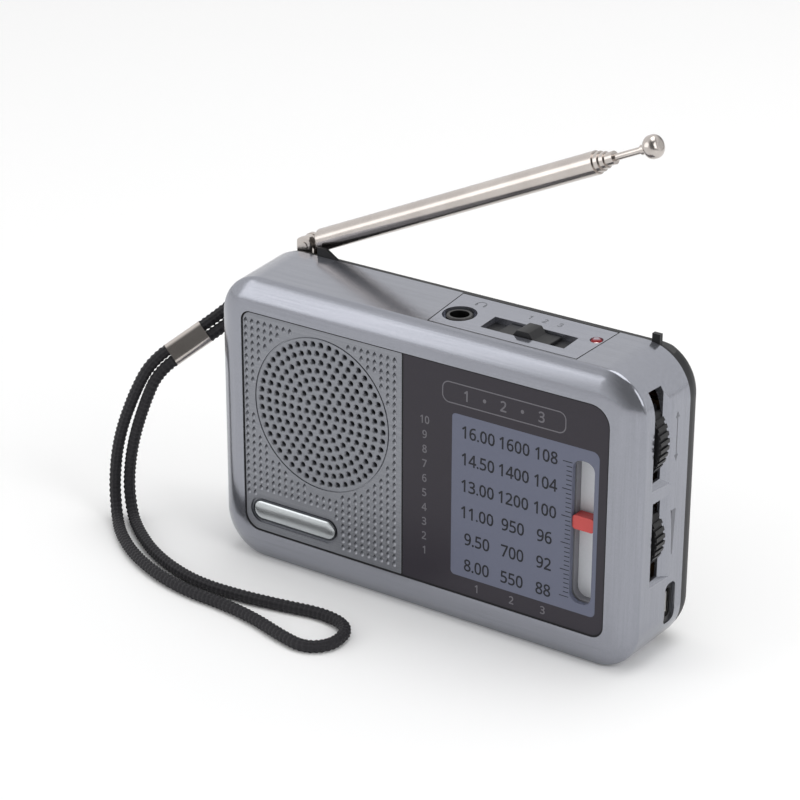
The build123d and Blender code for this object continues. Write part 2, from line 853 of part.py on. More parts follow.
def thumbwheel(centre_x, centre_z, radius, front, rib_count):
    """Ribbed disc with a hollow back and a bore for its shaft."""
    with BuildPart(mode=Mode.PRIVATE) as wheel:
        with BuildSketch(facing(centre_x, centre_z, front)):
            Circle(radius)
            with PolarLocations(radius, rib_count):
                Rectangle(2 * groove_deep, groove_w, mode=Mode.SUBTRACT)
        extrude(amount=-wheel_thick)
        with BuildSketch(facing(centre_x, centre_z, front + wheel_thick)):
            Circle(radius - wheel_rim)
            Circle(shaft_r + hub_wall, mode=Mode.SUBTRACT)
        extrude(amount=wheel_hollow, mode=Mode.SUBTRACT)
        with BuildSketch(facing(centre_x, centre_z, front)):
            Circle(shaft_r)
        extrude(amount=-wheel_thick, mode=Mode.SUBTRACT)
    return wheel.part


with BuildPart() as tuning_wheel:
    add(thumbwheel(tuning_x, tuning_z, tuning_r, wheel_front, tuning_ribs))
    with BuildSketch(facing(tuning_x, tuning_z, drum_front)):
        Circle(drum_r + drum_lip)
        Circle(shaft_r, mode=Mode.SUBTRACT)
    extrude(amount=-drum_flange_t)
    with BuildSketch(facing(tuning_x, tuning_z, drum_front)):
        Circle(drum_r)
        Circle(shaft_r, mode=Mode.SUBTRACT)
    extrude(amount=-drum_deep)
tuning_wheel.part.label = "tuning_wheel"
export_step(tuning_wheel.part, "parts/tuning_wheel.step")

with BuildPart() as volume_wheel:
    add(thumbwheel(volume_x, volume_z, volume_r, volume_front, volume_ribs))
volume_wheel.part.label = "volume_wheel"
export_step(volume_wheel.part, "parts/volume_wheel.step")


def shaft(centre_x, centre_z, front):
    """Shaft from a wheel's front face into the part behind the board."""
    with BuildPart(mode=Mode.PRIVATE) as pin:
        with BuildSketch(facing(centre_x, centre_z, front)):
            Circle(shaft_r)
        extrude(amount=front - board_back - shaft_grip)
        with BuildSketch(facing(centre_x, centre_z, front)):
            Circle(centre_screw_r)
        extrude(amount=-centre_screw_len - fit_gap, mode=Mode.SUBTRACT)
    return pin.part


def centre_screw(centre_x, centre_z, front):
    """Cross-head screw that holds a thumbwheel on its shaft."""
    with BuildPart(mode=Mode.PRIVATE) as screw:
        with BuildSketch(facing(centre_x, centre_z, front)):
            Circle(centre_head_r)
        extrude(amount=centre_head_t)
        with BuildSketch(facing(centre_x, centre_z, front)):
            Circle(centre_screw_r)
        extrude(amount=-centre_screw_len)
        with BuildSketch(facing(centre_x, centre_z, front - centre_head_t)):
            Rectangle(centre_cross_len, centre_cross_w)
            Rectangle(centre_cross_w, centre_cross_len)
        extrude(amount=-centre_cross_w, mode=Mode.SUBTRACT)
    return screw.part


with BuildPart() as tuning_shaft:
    add(shaft(tuning_x, tuning_z, drum_front))
tuning_shaft.part.label = "tuning_shaft"
export_step(tuning_shaft.part, "parts/tuning_shaft.step")

with BuildPart() as tuning_screw:
    add(centre_screw(tuning_x, tuning_z, drum_front))
tuning_screw.part.label = "tuning_screw"
export_step(tuning_screw.part, "parts/tuning_screw.step")

with BuildPart() as volume_shaft:
    add(shaft(volume_x, volume_z, volume_front))
volume_shaft.part.label = "volume_shaft"
export_step(volume_shaft.part, "parts/volume_shaft.step")

with BuildPart() as volume_screw:
    add(centre_screw(volume_x, volume_z, volume_front))
volume_screw.part.label = "volume_screw"
export_step(volume_screw.part, "parts/volume_screw.step")

# -------------------------------------------- circuit board and its parts
bearing_r = shaft_r + shaft_play
can_x = tuning_x - 25.5
can_z = board_high - 13.0
chip_x = bay_x + 8.0
chip_z = board_low + 26.5
electrolytic_x = board_left + 14.0
with BuildPart() as circuit_board:
    with BuildSketch(at_depth(board_front)):
        with Locations(((board_left + board_right) / 2, (board_low + board_high) / 2)):
            Rectangle(board_right - board_left, board_high - board_low)
        with Locations((tuning_x, tuning_z), (volume_x, volume_z)):
            Circle(shaft_r + shaft_hole_gap, mode=Mode.SUBTRACT)
        with Locations(*board_screw_places):
            Circle(screw_r, mode=Mode.SUBTRACT)
    extrude(amount=-board_thick)
circuit_board.part.label = "circuit_board"
export_step(circuit_board.part, "parts/circuit_board.step")

with BuildPart() as board_screws:
    with BuildSketch(at_depth(board_back)):
        with Locations(*board_screw_places):
            Circle(screw_r)
    extrude(amount=board_screw_deep)
    with BuildSketch(at_depth(board_back)):
        with Locations(*board_screw_places):
            Circle(board_head_r)
    extrude(amount=-board_head_t)
board_screws.part.label = "board_screws"
export_step(board_screws.part, "parts/board_screws.step")

with BuildPart() as tuning_capacitor:
    with BuildSketch(facing(tuning_x, tuning_z, board_back)):
        RectangleRounded(tuner_side, tuner_side, 1.0)
    extrude(amount=-tuner_deep)
    with BuildSketch(facing(tuning_x, tuning_z, board_back)):
        Circle(bearing_r)
    extrude(amount=-shaft_grip - shaft_end_gap, mode=Mode.SUBTRACT)
    with BuildSketch(facing(tuning_x, tuning_z, board_back + tuner_deep)):
        with GridLocations(trimmer_pitch, trimmer_pitch, 2, 2):
            Circle(trimmer_r)
    extrude(amount=trimmer_deep, mode=Mode.SUBTRACT)
tuning_capacitor.part.label = "tuning_capacitor"
export_step(tuning_capacitor.part, "parts/tuning_capacitor.step")

with BuildPart() as volume_control:
    with BuildSketch(facing(volume_x, volume_z, board_back)):
        Circle(pot_r)
        with Locations((-pot_r, 0)):
            Rectangle(pot_tab_w, pot_tab_h)
    extrude(amount=-pot_deep)
    with BuildSketch(facing(volume_x, volume_z, board_back)):
        Circle(bearing_r)
    extrude(amount=-shaft_grip - shaft_end_gap, mode=Mode.SUBTRACT)
volume_control.part.label = "volume_control"
export_step(volume_control.part, "parts/volume_control.step")

with BuildPart() as radio_chip:
    with BuildSketch(facing(chip_x, chip_z, board_back)):
        Rectangle(chip_w, chip_h)
    extrude(amount=-chip_deep)
    with BuildSketch(facing(chip_x, chip_z, board_back)):
        with GridLocations(chip_pitch, chip_h + chip_lead, chip_leads, 2):
            Rectangle(chip_lead_w, chip_lead)
    extrude(amount=-chip_lead_t)
radio_chip.part.label = "radio_chip"
export_step(radio_chip.part, "parts/radio_chip.step")

with BuildPart() as coil_cans:
    with BuildSketch(facing(can_x, can_z, board_back)):
        with GridLocations(can_pitch, 0, 3, 1):
            Rectangle(can_side, can_side)
    extrude(amount=-can_deep)
    with BuildSketch(facing(can_x, can_z, board_back + can_deep)):
        with GridLocations(can_pitch, 0, 3, 1):
            Circle(can_core_r)
    extrude(amount=can_core_deep, mode=Mode.SUBTRACT)
coil_cans.part.label = "coil_cans"
export_step(coil_cans.part, "parts/coil_cans.step")

with BuildPart() as capacitors:
    with BuildSketch(facing(electrolytic_x, board_high - board_top_row, board_back)):
        with GridLocations(electrolytic_pitch, 0, 3, 1):
            Circle(electrolytic_r)
    extrude(amount=-electrolytic_deep)
capacitors.part.label = "capacitors"
export_step(capacitors.part, "parts/capacitors.step")

with BuildPart() as usb_socket:
    with BuildSketch(Plane.YZ.offset(usb_wall_x - usb_sink)):
        with Locations((y_at(usb_depth), usb_z)):
            RectangleRounded(usb_h, usb_w, usb_r)
    extrude(amount=-usb_len)
    with BuildSketch(Plane.YZ.offset(usb_wall_x - usb_sink)):
        with Locations((y_at(usb_depth), usb_z)):
            RectangleRounded(usb_h - 2 * usb_wall, usb_w - 2 * usb_wall, usb_r - usb_wall)
            Rectangle(usb_tongue_t, usb_w - 2 * usb_r, mode=Mode.SUBTRACT)
    extrude(amount=usb_floor - usb_len, mode=Mode.SUBTRACT)
usb_socket.part.label = "usb_socket"
export_step(usb_socket.part, "parts/usb_socket.step")

# ---------------------------------------------------------- loudspeaker
speaker_rear = shell_floor + speaker_deep
with BuildPart() as speaker_frame:
    # Rim on its seat, conical basket, and the plate that carries the magnet.
    with BuildSketch(Plane.XY.offset(speaker_z)):
        with BuildLine():
            Polyline(
                (speaker_x + speaker_r - rim_w, y_at(shell_floor)),
                (speaker_x + speaker_r, y_at(shell_floor)),
                (speaker_x + speaker_r, y_at(shell_floor + rim_t)),
                (speaker_x + speaker_r - rim_w + basket_t, y_at(shell_floor + rim_t)),
                (speaker_x + speaker_hub_r, y_at(speaker_rear)),
                (speaker_x + voice_coil_r + touch, y_at(speaker_rear)),
                (speaker_x + voice_coil_r + touch, y_at(speaker_rear - basket_t)),
                (speaker_x + speaker_hub_r - basket_t / 2, y_at(speaker_rear - basket_t)),
                (speaker_x + speaker_r - rim_w, y_at(shell_floor + rim_t - basket_t / 2)),
                close=True,
            )
        make_face()
    revolve(axis=Axis((speaker_x, 0, speaker_z), (0, 1, 0)))
speaker_frame.part.label = "speaker_frame"
export_step(speaker_frame.part, "parts/speaker_frame.step")

cone_front = shell_floor + cone_set_back
surround_x = speaker_x + speaker_r - rim_w - touch
with BuildPart() as speaker_cone:
    # Flat surround, conical paper, domed cap and the voice coil behind it.
    with BuildSketch(Plane.XY.offset(speaker_z)):
        with BuildLine():
            Polyline(
                (speaker_x, y_at(cone_front + cap_sink)),
                (speaker_x + voice_coil_r + cap_lip, y_at(cone_front + cone_deep)),
                (surround_x - surround_w, y_at(cone_front)),
                (surround_x, y_at(cone_front)),
                (surround_x, y_at(cone_front + paper_t)),
                (surround_x - surround_w, y_at(cone_front + paper_t)),
                (speaker_x + voice_coil_r, y_at(cone_front + cone_deep + cap_lip)),
                (speaker_x + voice_coil_r, y_at(speaker_rear - fit_gap)),
                (speaker_x, y_at(speaker_rear - fit_gap)),
                close=True,
            )
        make_face()
    revolve(axis=Axis((speaker_x, 0, speaker_z), (0, 1, 0)))
speaker_cone.part.label = "speaker_cone"
export_step(speaker_cone.part, "parts/speaker_cone.step")

with BuildPart() as speaker_magnet:
    with BuildSketch(facing(speaker_x, speaker_z, speaker_rear)):
        Circle(magnet_r)
    extrude(amount=-magnet_t)
    fillet(speaker_magnet.faces().sort_by(Axis.Y)[-1].edges(), magnet_fillet)
speaker_magnet.part.label = "speaker_magnet"
export_step(speaker_magnet.part, "parts/speaker_magnet.step")

with BuildPart() as ferrite_rod:
    with BuildSketch(Plane.YZ.offset(ferrite_left)):
        with Locations((y_at(ferrite_depth), ferrite_z)):
            Circle(ferrite_r)
    extrude(amount=ferrite_len)
ferrite_rod.part.label = "ferrite_rod"
export_step(ferrite_rod.part, "parts/ferrite_rod.step")

with BuildPart() as ferrite_coil:
    with BuildSketch(Plane.YZ.offset(ferrite_x - coil_len / 2)):
        with Locations((y_at(ferrite_depth), ferrite_z)):
            Circle(ferrite_r + coil_thick)
            Circle(ferrite_r, mode=Mode.SUBTRACT)
    extrude(amount=coil_len)
ferrite_coil.part.label = "ferrite_coil"
export_step(ferrite_coil.part, "parts/ferrite_coil.step")

# ------------------------------------------------------------ top fittings
with BuildPart() as top_plate:
    with BuildSketch(Plane.XY.offset(plate_low)):
        add(plate_outline(0, plate_rear))
    extrude(amount=height - plate_low)
    add(outer_form.part, mode=Mode.INTERSECT)
    with BuildSketch(Plane.XY.offset(plate_low)):
        with Locations((jack_x, y_at(jack_depth))):
            Circle(jack_recess_r)
        with Locations((led_x, y_at(led_depth))):
            Circle(led_r + fit_gap)
        with Locations((switch_x, y_at(switch_depth))):
            Rectangle(switch_slot_w, switch_slot_d)
    extrude(amount=height - plate_low, mode=Mode.SUBTRACT)
top_plate.part.label = "top_plate"
export_step(top_plate.part, "parts/top_plate.step")

with BuildPart() as headphone_jack:
    with BuildSketch(Plane.XY.offset(shelf_low)):
        with Locations((jack_x, y_at(jack_depth))):
            Rectangle(jack_body_w, jack_body_d)
    extrude(amount=-jack_body_h)
    with BuildSketch(Plane.XY.offset(shelf_low)):
        with Locations((jack_x, y_at(jack_depth))):
            Circle(jack_bore_r)
    extrude(amount=-jack_bore_len, mode=Mode.SUBTRACT)
headphone_jack.part.label = "headphone_jack"
export_step(headphone_jack.part, "parts/headphone_jack.step")

with BuildPart() as jack_ring:
    with BuildSketch(Plane.XY.offset(shelf_low)):
        with Locations((jack_x, y_at(jack_depth))):
            Circle(jack_ring_r)
            Circle(jack_mouth_r, mode=Mode.SUBTRACT)
    extrude(amount=jack_ring_h)
    chamfer(jack_ring.faces().sort_by(Axis.Z)[-1].edges().sort_by(SortBy.LENGTH)[-1], 0.3)
jack_ring.part.label = "jack_ring"
export_step(jack_ring.part, "parts/jack_ring.step")

with BuildPart() as band_switch:
    with BuildSketch(Plane.XY.offset(shelf_low)):
        with Locations((switch_x, y_at(switch_depth))):
            Rectangle(switch_body_w, switch_body_d)
    extrude(amount=-switch_body_h)
    with BuildSketch(Plane.XY.offset(shelf_low)):
        with Locations((switch_x, y_at(switch_depth))):
            Rectangle(stem_slot_w, stem_slot_d)
    extrude(amount=-stem_reach - fit_gap, mode=Mode.SUBTRACT)
band_switch.part.label = "band_switch"
export_step(band_switch.part, "parts/band_switch.step")

with BuildPart() as switch_plate:
    with BuildSketch(Plane.XY.offset(plate_low)):
        with Locations((switch_x, y_at(switch_depth))):
            Rectangle(switch_slot_w - 2 * fit_gap, switch_slot_d - 2 * fit_gap)
            Rectangle(stem_slot_w, stem_slot_d, mode=Mode.SUBTRACT)
    extrude(amount=switch_plate_t)
switch_plate.part.label = "switch_plate"
export_step(switch_plate.part, "parts/switch_plate.step")

slider_low = plate_low + switch_plate_t + fit_gap
slider_high = height + switch_knob_rise
with BuildPart() as band_slider:
    with BuildSketch(Plane.XY.offset(slider_low)):
        with Locations((switch_x, y_at(switch_depth))):
            Rectangle(switch_knob_w, switch_slot_d - 3 * fit_gap)
    extrude(amount=slider_high - slider_low)
    with BuildSketch(Plane.XY.offset(slider_high)):
        with Locations((switch_x, y_at(switch_depth))):
            with GridLocations(knob_rib_pitch, 0, 4, 1):
                Rectangle(knob_rib_gap, switch_slot_d)
    extrude(amount=-knob_rib_deep, mode=Mode.SUBTRACT)
    with BuildSketch(Plane.XY.offset(slider_low)):
        with Locations((switch_x, y_at(switch_depth))):
            Rectangle(stem_w, stem_d)
    extrude(amount=shelf_low - stem_reach - slider_low)
band_slider.part.label = "band_slider"
export_step(band_slider.part, "parts/band_slider.step")

lamp_low = height + lamp_rise - led_len
with BuildPart() as tuning_lamp:
    with BuildSketch(Plane.XY.offset(lamp_low)):
        with Locations((led_x, y_at(led_depth))):
            Circle(led_r)
    extrude(amount=led_len)
    fillet(tuning_lamp.faces().sort_by(Axis.Z)[-1].edges(), lamp_fillet)
    with BuildSketch(Plane.XY.offset(lamp_low)):
        with Locations((led_x, y_at(led_depth))):
            Circle(led_r + lamp_lip)
    extrude(amount=lamp_lip_h)
tuning_lamp.part.label = "tuning_lamp"
export_step(tuning_lamp.part, "parts/tuning_lamp.step")

# ------------------------------------------------------------ back cover
cover_back_wall = depth - cover_wall
cover_half_w = width / 2 - cover_step
guard_left = pivot_x + guard_offset
cover_cavity_top = ledge_z - cover_wall
hinge_z = door_low + door_t / 2
hinge_depth = depth - door_t / 2
contact_depth = bay_front + contact_depth_in
bay_z = door_mid_z
bay_half_w = battery_w / 2 + bay_gap
bay_half_h = battery_h / 2 + bay_gap
antenna_y = y_at(antenna_depth)

# Space inside the cover, less the blocks and bosses that stand in it.
with BuildPart() as cover_space:
    with BuildSketch(at_depth(seam_depth)):
        with Locations((0, (floor_wall + cover_cavity_top) / 2)):
            RectangleRounded(
                2 * (cover_half_w - cover_wall),
                cover_cavity_top - floor_wall,
                corner_r - cover_step - cover_wall,
            )
    extrude(amount=seam_depth - cover_back_wall)
    fillet(cover_space.faces().sort_by(Axis.Y)[-1].edges(), cover_fillet - cover_wall)
    with BuildSketch(at_depth(seam_depth)):
        with Locations(*screw_places):
            Circle(boss_r)
        with Locations((bay_x, door_mid_z)):
            Rectangle(door_w + 2 * tub_rim, door_h + 2 * tub_rim)
        with Locations((recess_deep / 2 - width / 2, bar_z)):
            Rectangle(recess_deep + 2 * recess_wall, 2 * (recess_half + recess_wall))
    extrude(amount=seam_depth - depth, mode=Mode.SUBTRACT)
    with BuildSketch(Plane.XY.offset(post_low - 2)):
        with Locations((pivot_x, antenna_y)):
            Circle(post_r + cover_wall)
    extrude(amount=height - post_low, mode=Mode.SUBTRACT)

with BuildPart() as back_cover:
    with BuildSketch(at_depth(seam_depth)):
        with Locations((0, height / 2)):
            RectangleRounded(2 * cover_half_w, height - 2 * cover_step, corner_r - cover_step)
    extrude(amount=seam_depth - depth)
    fillet(back_cover.faces().sort_by(Axis.Y)[-1].edges(), cover_fillet)
    add(cover_space.part, mode=Mode.SUBTRACT)
    with BuildSketch(at_depth(bay_front - tub_floor)):
        with Locations((bay_x, bay_z)):
            Rectangle(2 * (bay_half_w + tub_rim), 2 * (bay_half_h + tub_rim))
    extrude(amount=bay_front - tub_floor - seam_depth)
    with BuildSketch(at_depth(bay_front)):
        with Locations((bay_x, bay_z)):
            Rectangle(2 * bay_half_w, 2 * bay_half_h)
    extrude(amount=bay_front - depth, mode=Mode.SUBTRACT)
    with BuildSketch(at_depth(door_front - fit_gap)):
        with Locations((bay_x, door_mid_z)):
            Rectangle(door_w + 2 * door_gap, door_h + 2 * door_gap)
    extrude(amount=-(door_t + 1), mode=Mode.SUBTRACT)
    with BuildSketch(Plane.YZ.offset(bay_x - door_w / 2 - hinge_pin_len - fit_gap)):
        with Locations((y_at(hinge_depth), hinge_z)):
            Circle(hinge_pin_r + hinge_play)
    extrude(amount=door_w + 2 * (hinge_pin_len + fit_gap), mode=Mode.SUBTRACT)
    with BuildSketch(facing(bay_x - bay_half_w, bay_z, contact_depth)):
        with GridLocations(0, contact_pitch, 1, 3):
            Rectangle(2 * contact_set, contact_w)
    extrude(amount=-contact_h, mode=Mode.SUBTRACT)

    # Ledge for the stowed antenna, its guard rib and its end stop.
    with BuildSketch(at_depth(ledge_depth)):
        with Locations((0, height)):
            Rectangle(width, 2 * ledge_drop)
    extrude(amount=ledge_depth - depth, mode=Mode.SUBTRACT)
    with BuildSketch(at_depth(seam_depth + plate_gap)):
        with BuildLine():
            Polyline(
                (guard_left, ledge_z),
                (guard_left, height + guard_rise),
                (guard_left + guard_flat, height + guard_rise),
                (guard_left + guard_len, height),
                (guard_left + guard_len, ledge_z),
                close=True,
            )
        make_face()
    extrude(amount=seam_depth + plate_gap - ledge_depth)
    with BuildSketch(at_depth(seam_depth + plate_gap)):
        with Locations((width / 2 - stop_inset, (ledge_z + height + stop_rise) / 2)):
            Rectangle(stop_w, height + stop_rise - ledge_z)
    extrude(amount=seam_depth + plate_gap - antenna_depth + tube_r + touch)

    # Holes for the case screws, the antenna's post and the strap.
    with BuildSketch(at_depth(seam_depth)):
        with Locations(*screw_places):
            Circle(screw_r + screw_play)
    extrude(amount=seam_depth - depth, mode=Mode.SUBTRACT)
    with BuildSketch(at_depth(screw_head_depth)):
        with Locations(*screw_places):
            Circle(screw_head_r + screw_play)
    extrude(amount=screw_head_depth - depth, mode=Mode.SUBTRACT)
    with BuildSketch(Plane.XY.offset(post_low - fit_gap)):
        with Locations((pivot_x, antenna_y)):
            Circle(post_r + shaft_play)
    extrude(amount=height - post_low, mode=Mode.SUBTRACT)
    with BuildSketch(at_depth(recess_front)):
        with Locations(((recess_deep - recess_wall) / 2 - width / 2, bar_z)):
            Rectangle(recess_deep + recess_wall, 2 * recess_half)
    extrude(amount=recess_front - recess_back, mode=Mode.SUBTRACT)
    with BuildSketch(at_depth(bar_front)):
        with Locations((bar_x, bar_z)):
            Circle(bar_r)
    extrude(amount=bar_front - bar_back, mode=Mode.SUBTRACT)
back_cover.part.label = "back_cover"
export_step(back_cover.part, "parts/back_cover.step")

with BuildPart() as strap_bar:
    with BuildSketch(at_depth(bar_front)):
        with Locations((bar_x, bar_z)):
            Circle(bar_r)
    extrude(amount=bar_front - bar_back)
strap_bar.part.label = "strap_bar"
export_step(strap_bar.part, "parts/strap_bar.step")

with BuildPart() as case_screws:
    with BuildSketch(at_depth(screw_tip_depth + screw_play)):
        with Locations(*screw_places):
            Circle(screw_r)
    extrude(amount=screw_tip_depth + screw_play - screw_head_depth)
    with BuildSketch(at_depth(screw_head_depth)):
        with Locations(*screw_places):
            Circle(screw_head_r)
    extrude(amount=-screw_head_t)
    with BuildSketch(at_depth(screw_head_depth + screw_head_t)):
        with Locations(*screw_places):
            Rectangle(cross_len, cross_w)
            Rectangle(cross_w, cross_len)
    extrude(amount=cross_deep, mode=Mode.SUBTRACT)
case_screws.part.label = "case_screws"
export_step(case_screws.part, "parts/case_screws.step")

with BuildPart() as battery_door:
    with BuildSketch(at_depth(door_front)):
        with Locations((bay_x, door_mid_z)):
            Rectangle(door_w, door_h)
    extrude(amount=-door_t)
    fillet(battery_door.faces().sort_by(Axis.Z)[0].edges().filter_by(Axis.X), door_t / 2 - 0.01)
    with BuildSketch(Plane.YZ.offset(bay_x - door_w / 2 - hinge_pin_len)):
        with Locations((y_at(hinge_depth), hinge_z)):
            Circle(hinge_pin_r)
    extrude(amount=door_w + 2 * hinge_pin_len)
    with BuildSketch(at_depth(depth)):
        with Locations((bay_x, door_low + door_h - grip_drop)):
            with GridLocations(0, grip_pitch, 1, 4):
                SlotOverall(grip_len, grip_w)
    extrude(amount=grip_deep, mode=Mode.SUBTRACT)
battery_door.part.label = "battery_door"
export_step(battery_door.part, "parts/battery_door.step")

with BuildPart() as battery_pack:
    with BuildSketch(at_depth(bay_front + bay_gap)):
        with Locations((bay_x, bay_z)):
            RectangleRounded(battery_w, battery_h, battery_r)
    extrude(amount=-battery_t)
battery_pack.part.label = "battery_pack"
export_step(battery_pack.part, "parts/battery_pack.step")

with BuildPart() as battery_contacts:
    with BuildSketch(facing(bay_x - bay_half_w, bay_z, contact_depth)):
        with GridLocations(0, contact_pitch, 1, 3):
            Rectangle(2 * contact_set, contact_w)
        with Locations((bay_gap + contact_set, 0)):
            Rectangle(2 * contact_set, battery_h, mode=Mode.SUBTRACT)
    extrude(amount=-contact_h)
battery_contacts.part.label = "battery_contacts"
export_step(battery_contacts.part, "parts/battery_contacts.step")

# ---------------------------------------------------------------- antenna
tilt = math.radians(antenna_tilt)
antenna_plane = Plane(
    origin=(pivot_x, antenna_y, pivot_z),
    x_dir=(math.cos(tilt), 0, math.sin(tilt)),
    z_dir=(0, -1, 0),
)
antenna_axis = Axis(antenna_plane.origin, antenna_plane.x_dir)
cheek_half = eye_t / 2 + fork_gap

with BuildPart() as antenna_fork:
    # Two cheeks, whose outer faces keep the round of the bar they are cut from.
    for side in (-1, 1):
        with BuildSketch(facing(pivot_x, pivot_z, antenna_depth + side * (cheek_half + cheek_t / 2))):
            Circle(fork_r)
            with Locations((0, (ledge_z + flange_t - pivot_z) / 2)):
                Rectangle(2 * fork_r, pivot_z - ledge_z - flange_t)
            Circle(pivot_pin_r, mode=Mode.SUBTRACT)
        extrude(amount=cheek_t / 2, both=True)
    with BuildSketch(Plane.XY.offset(ledge_z)):
        with Locations((pivot_x, antenna_y)):
            Circle(fork_turned_r)
    extrude(amount=2 * pivot_rise, mode=Mode.INTERSECT)
    with BuildSketch(Plane.XY.offset(post_low)):
        with Locations((pivot_x, antenna_y)):
            Circle(post_r)
    extrude(amount=ledge_z + fork_gap - post_low)
    with BuildSketch(Plane.XY.offset(ledge_z + fork_gap)):
        with Locations((pivot_x, antenna_y)):
            Circle(post_r + flange_lip)
    extrude(amount=flange_t)
antenna_fork.part.label = "antenna_fork"
export_step(antenna_fork.part, "parts/antenna_fork.step")

with BuildPart() as antenna_pin:
    with BuildSketch(facing(pivot_x, pivot_z, antenna_depth)):
        Circle(pivot_pin_r)
    extrude(amount=cheek_half + cheek_t, both=True)
    for side in (-1, 1):
        head_depth = antenna_depth + side * (cheek_half + cheek_t + pin_head_t / 2)
        with BuildSketch(facing(pivot_x, pivot_z, head_depth)):
            Circle(pin_head_r)
        extrude(amount=pin_head_t / 2, both=True)
antenna_pin.part.label = "antenna_pin"
export_step(antenna_pin.part, "parts/antenna_pin.step")

with BuildPart() as antenna_knuckle:
    with BuildSketch(antenna_plane):
        Circle(eye_r)
        with Locations((tube_start / 2, 0)):
            Rectangle(tube_start, neck_h)
        Circle(pivot_pin_r + shaft_play, mode=Mode.SUBTRACT)
    extrude(amount=eye_t / 2, both=True)
    with BuildSketch(antenna_plane):
        with Locations((tube_start + plug_len / 2, (tube_r - tube_wall) / 2)):
            Rectangle(plug_len, tube_r - tube_wall)
    revolve(axis=antenna_axis)
antenna_knuckle.part.label = "antenna_knuckle"
export_step(antenna_knuckle.part, "parts/antenna_knuckle.step")


def tube_outer(number):
    """Outer radius of one antenna tube; the tubes count from 0, the widest."""
    return tube_r - number * tube_step


def tube_base(number):
    """Where a collapsed tube starts, along the antenna from its pivot."""
    return tube_start if number == 0 else first_base + (number - 1) * base_step


for number in range(tube_count):
    outer = tube_outer(number)
    inner = outer - tube_wall
    base = tube_base(number)
    end = tube_ends[number]
    bead = outer if number == 0 else tube_outer(number - 1) - tube_wall - slide_play
    mouth = (tube_outer(number + 1) if number < tube_count - 1 else whip_r) + slide_play
    with BuildPart() as antenna_tube:
        with BuildSketch(antenna_plane):
            with Locations(((base + end) / 2, (inner + outer) / 2)):
                Rectangle(end - base, outer - inner)
            with Locations((base + bead_len / 2, (inner + bead) / 2)):
                Rectangle(bead_len, bead - inner)
            with Locations((end - lip_len / 2, (mouth + outer) / 2)):
                Rectangle(lip_len, outer - mouth)
        revolve(axis=antenna_axis)
    antenna_tube.part.label = f"antenna_tube_{number + 1}"
    export_step(antenna_tube.part, f"parts/antenna_tube_{number + 1}.step")

whip_base = tube_base(tube_count)
whip_bead = tube_outer(tube_count - 1) - tube_wall - slide_play
with BuildPart() as antenna_whip:
    with BuildSketch(antenna_plane):
        with BuildLine():
            Polyline(
                (whip_base, 0),
                (whip_base, whip_bead),
                (whip_base + bead_len, whip_bead),
                (whip_base + bead_len, whip_r),
                (whip_end - neck_len, whip_r),
                (whip_end - neck_len, neck_r),
                (whip_end, neck_r),
                (whip_end, whip_r),
                (whip_end + knob_bore, whip_r),
                (whip_end + knob_bore, 0),
                close=True,
            )
        make_face()
    revolve(axis=antenna_axis)
antenna_whip.part.label = "antenna_whip"
export_step(antenna_whip.part, "parts/antenna_whip.step")

with BuildPart() as antenna_knob:
    with BuildSketch(antenna_plane):
        with Locations((whip_end + knob_len / 2, 0)):
            RectangleRounded(knob_len, 2 * knob_r, knob_fillet)
        with Locations((whip_end + knob_bore / 2, 0)):
            Rectangle(knob_bore, 2 * whip_r, mode=Mode.SUBTRACT)
        with Locations((whip_end, -knob_r)):
            Rectangle(4 * knob_len, 2 * knob_r, mode=Mode.SUBTRACT)
    revolve(axis=antenna_axis)
antenna_knob.part.label = "antenna_knob"
export_step(antenna_knob.part, "parts/antenna_knob.step")

# ------------------------------------------------------------ wrist strap
strap_top = Vector(-71.8, -1.0, 50.2)       # ferrule's upper face
strap_along = Vector(-0.539, -0.661, -0.521).normalized()
strap_across = Vector(0.666, 0.044, -0.744).normalized()
strap_low = strap_top + strap_along * ferrule_len
strand_half = 1.5

with BuildPart() as strap_ferrule:
    with BuildSketch(Plane(origin=strap_top, x_dir=strap_across, z_dir=strap_along)):
        SlotOverall(ferrule_w, ferrule_t)
    extrude(amount=ferrule_len)
strap_ferrule.part.label = "strap_ferrule"
export_step(strap_ferrule.part, "parts/strap_ferrule.step")

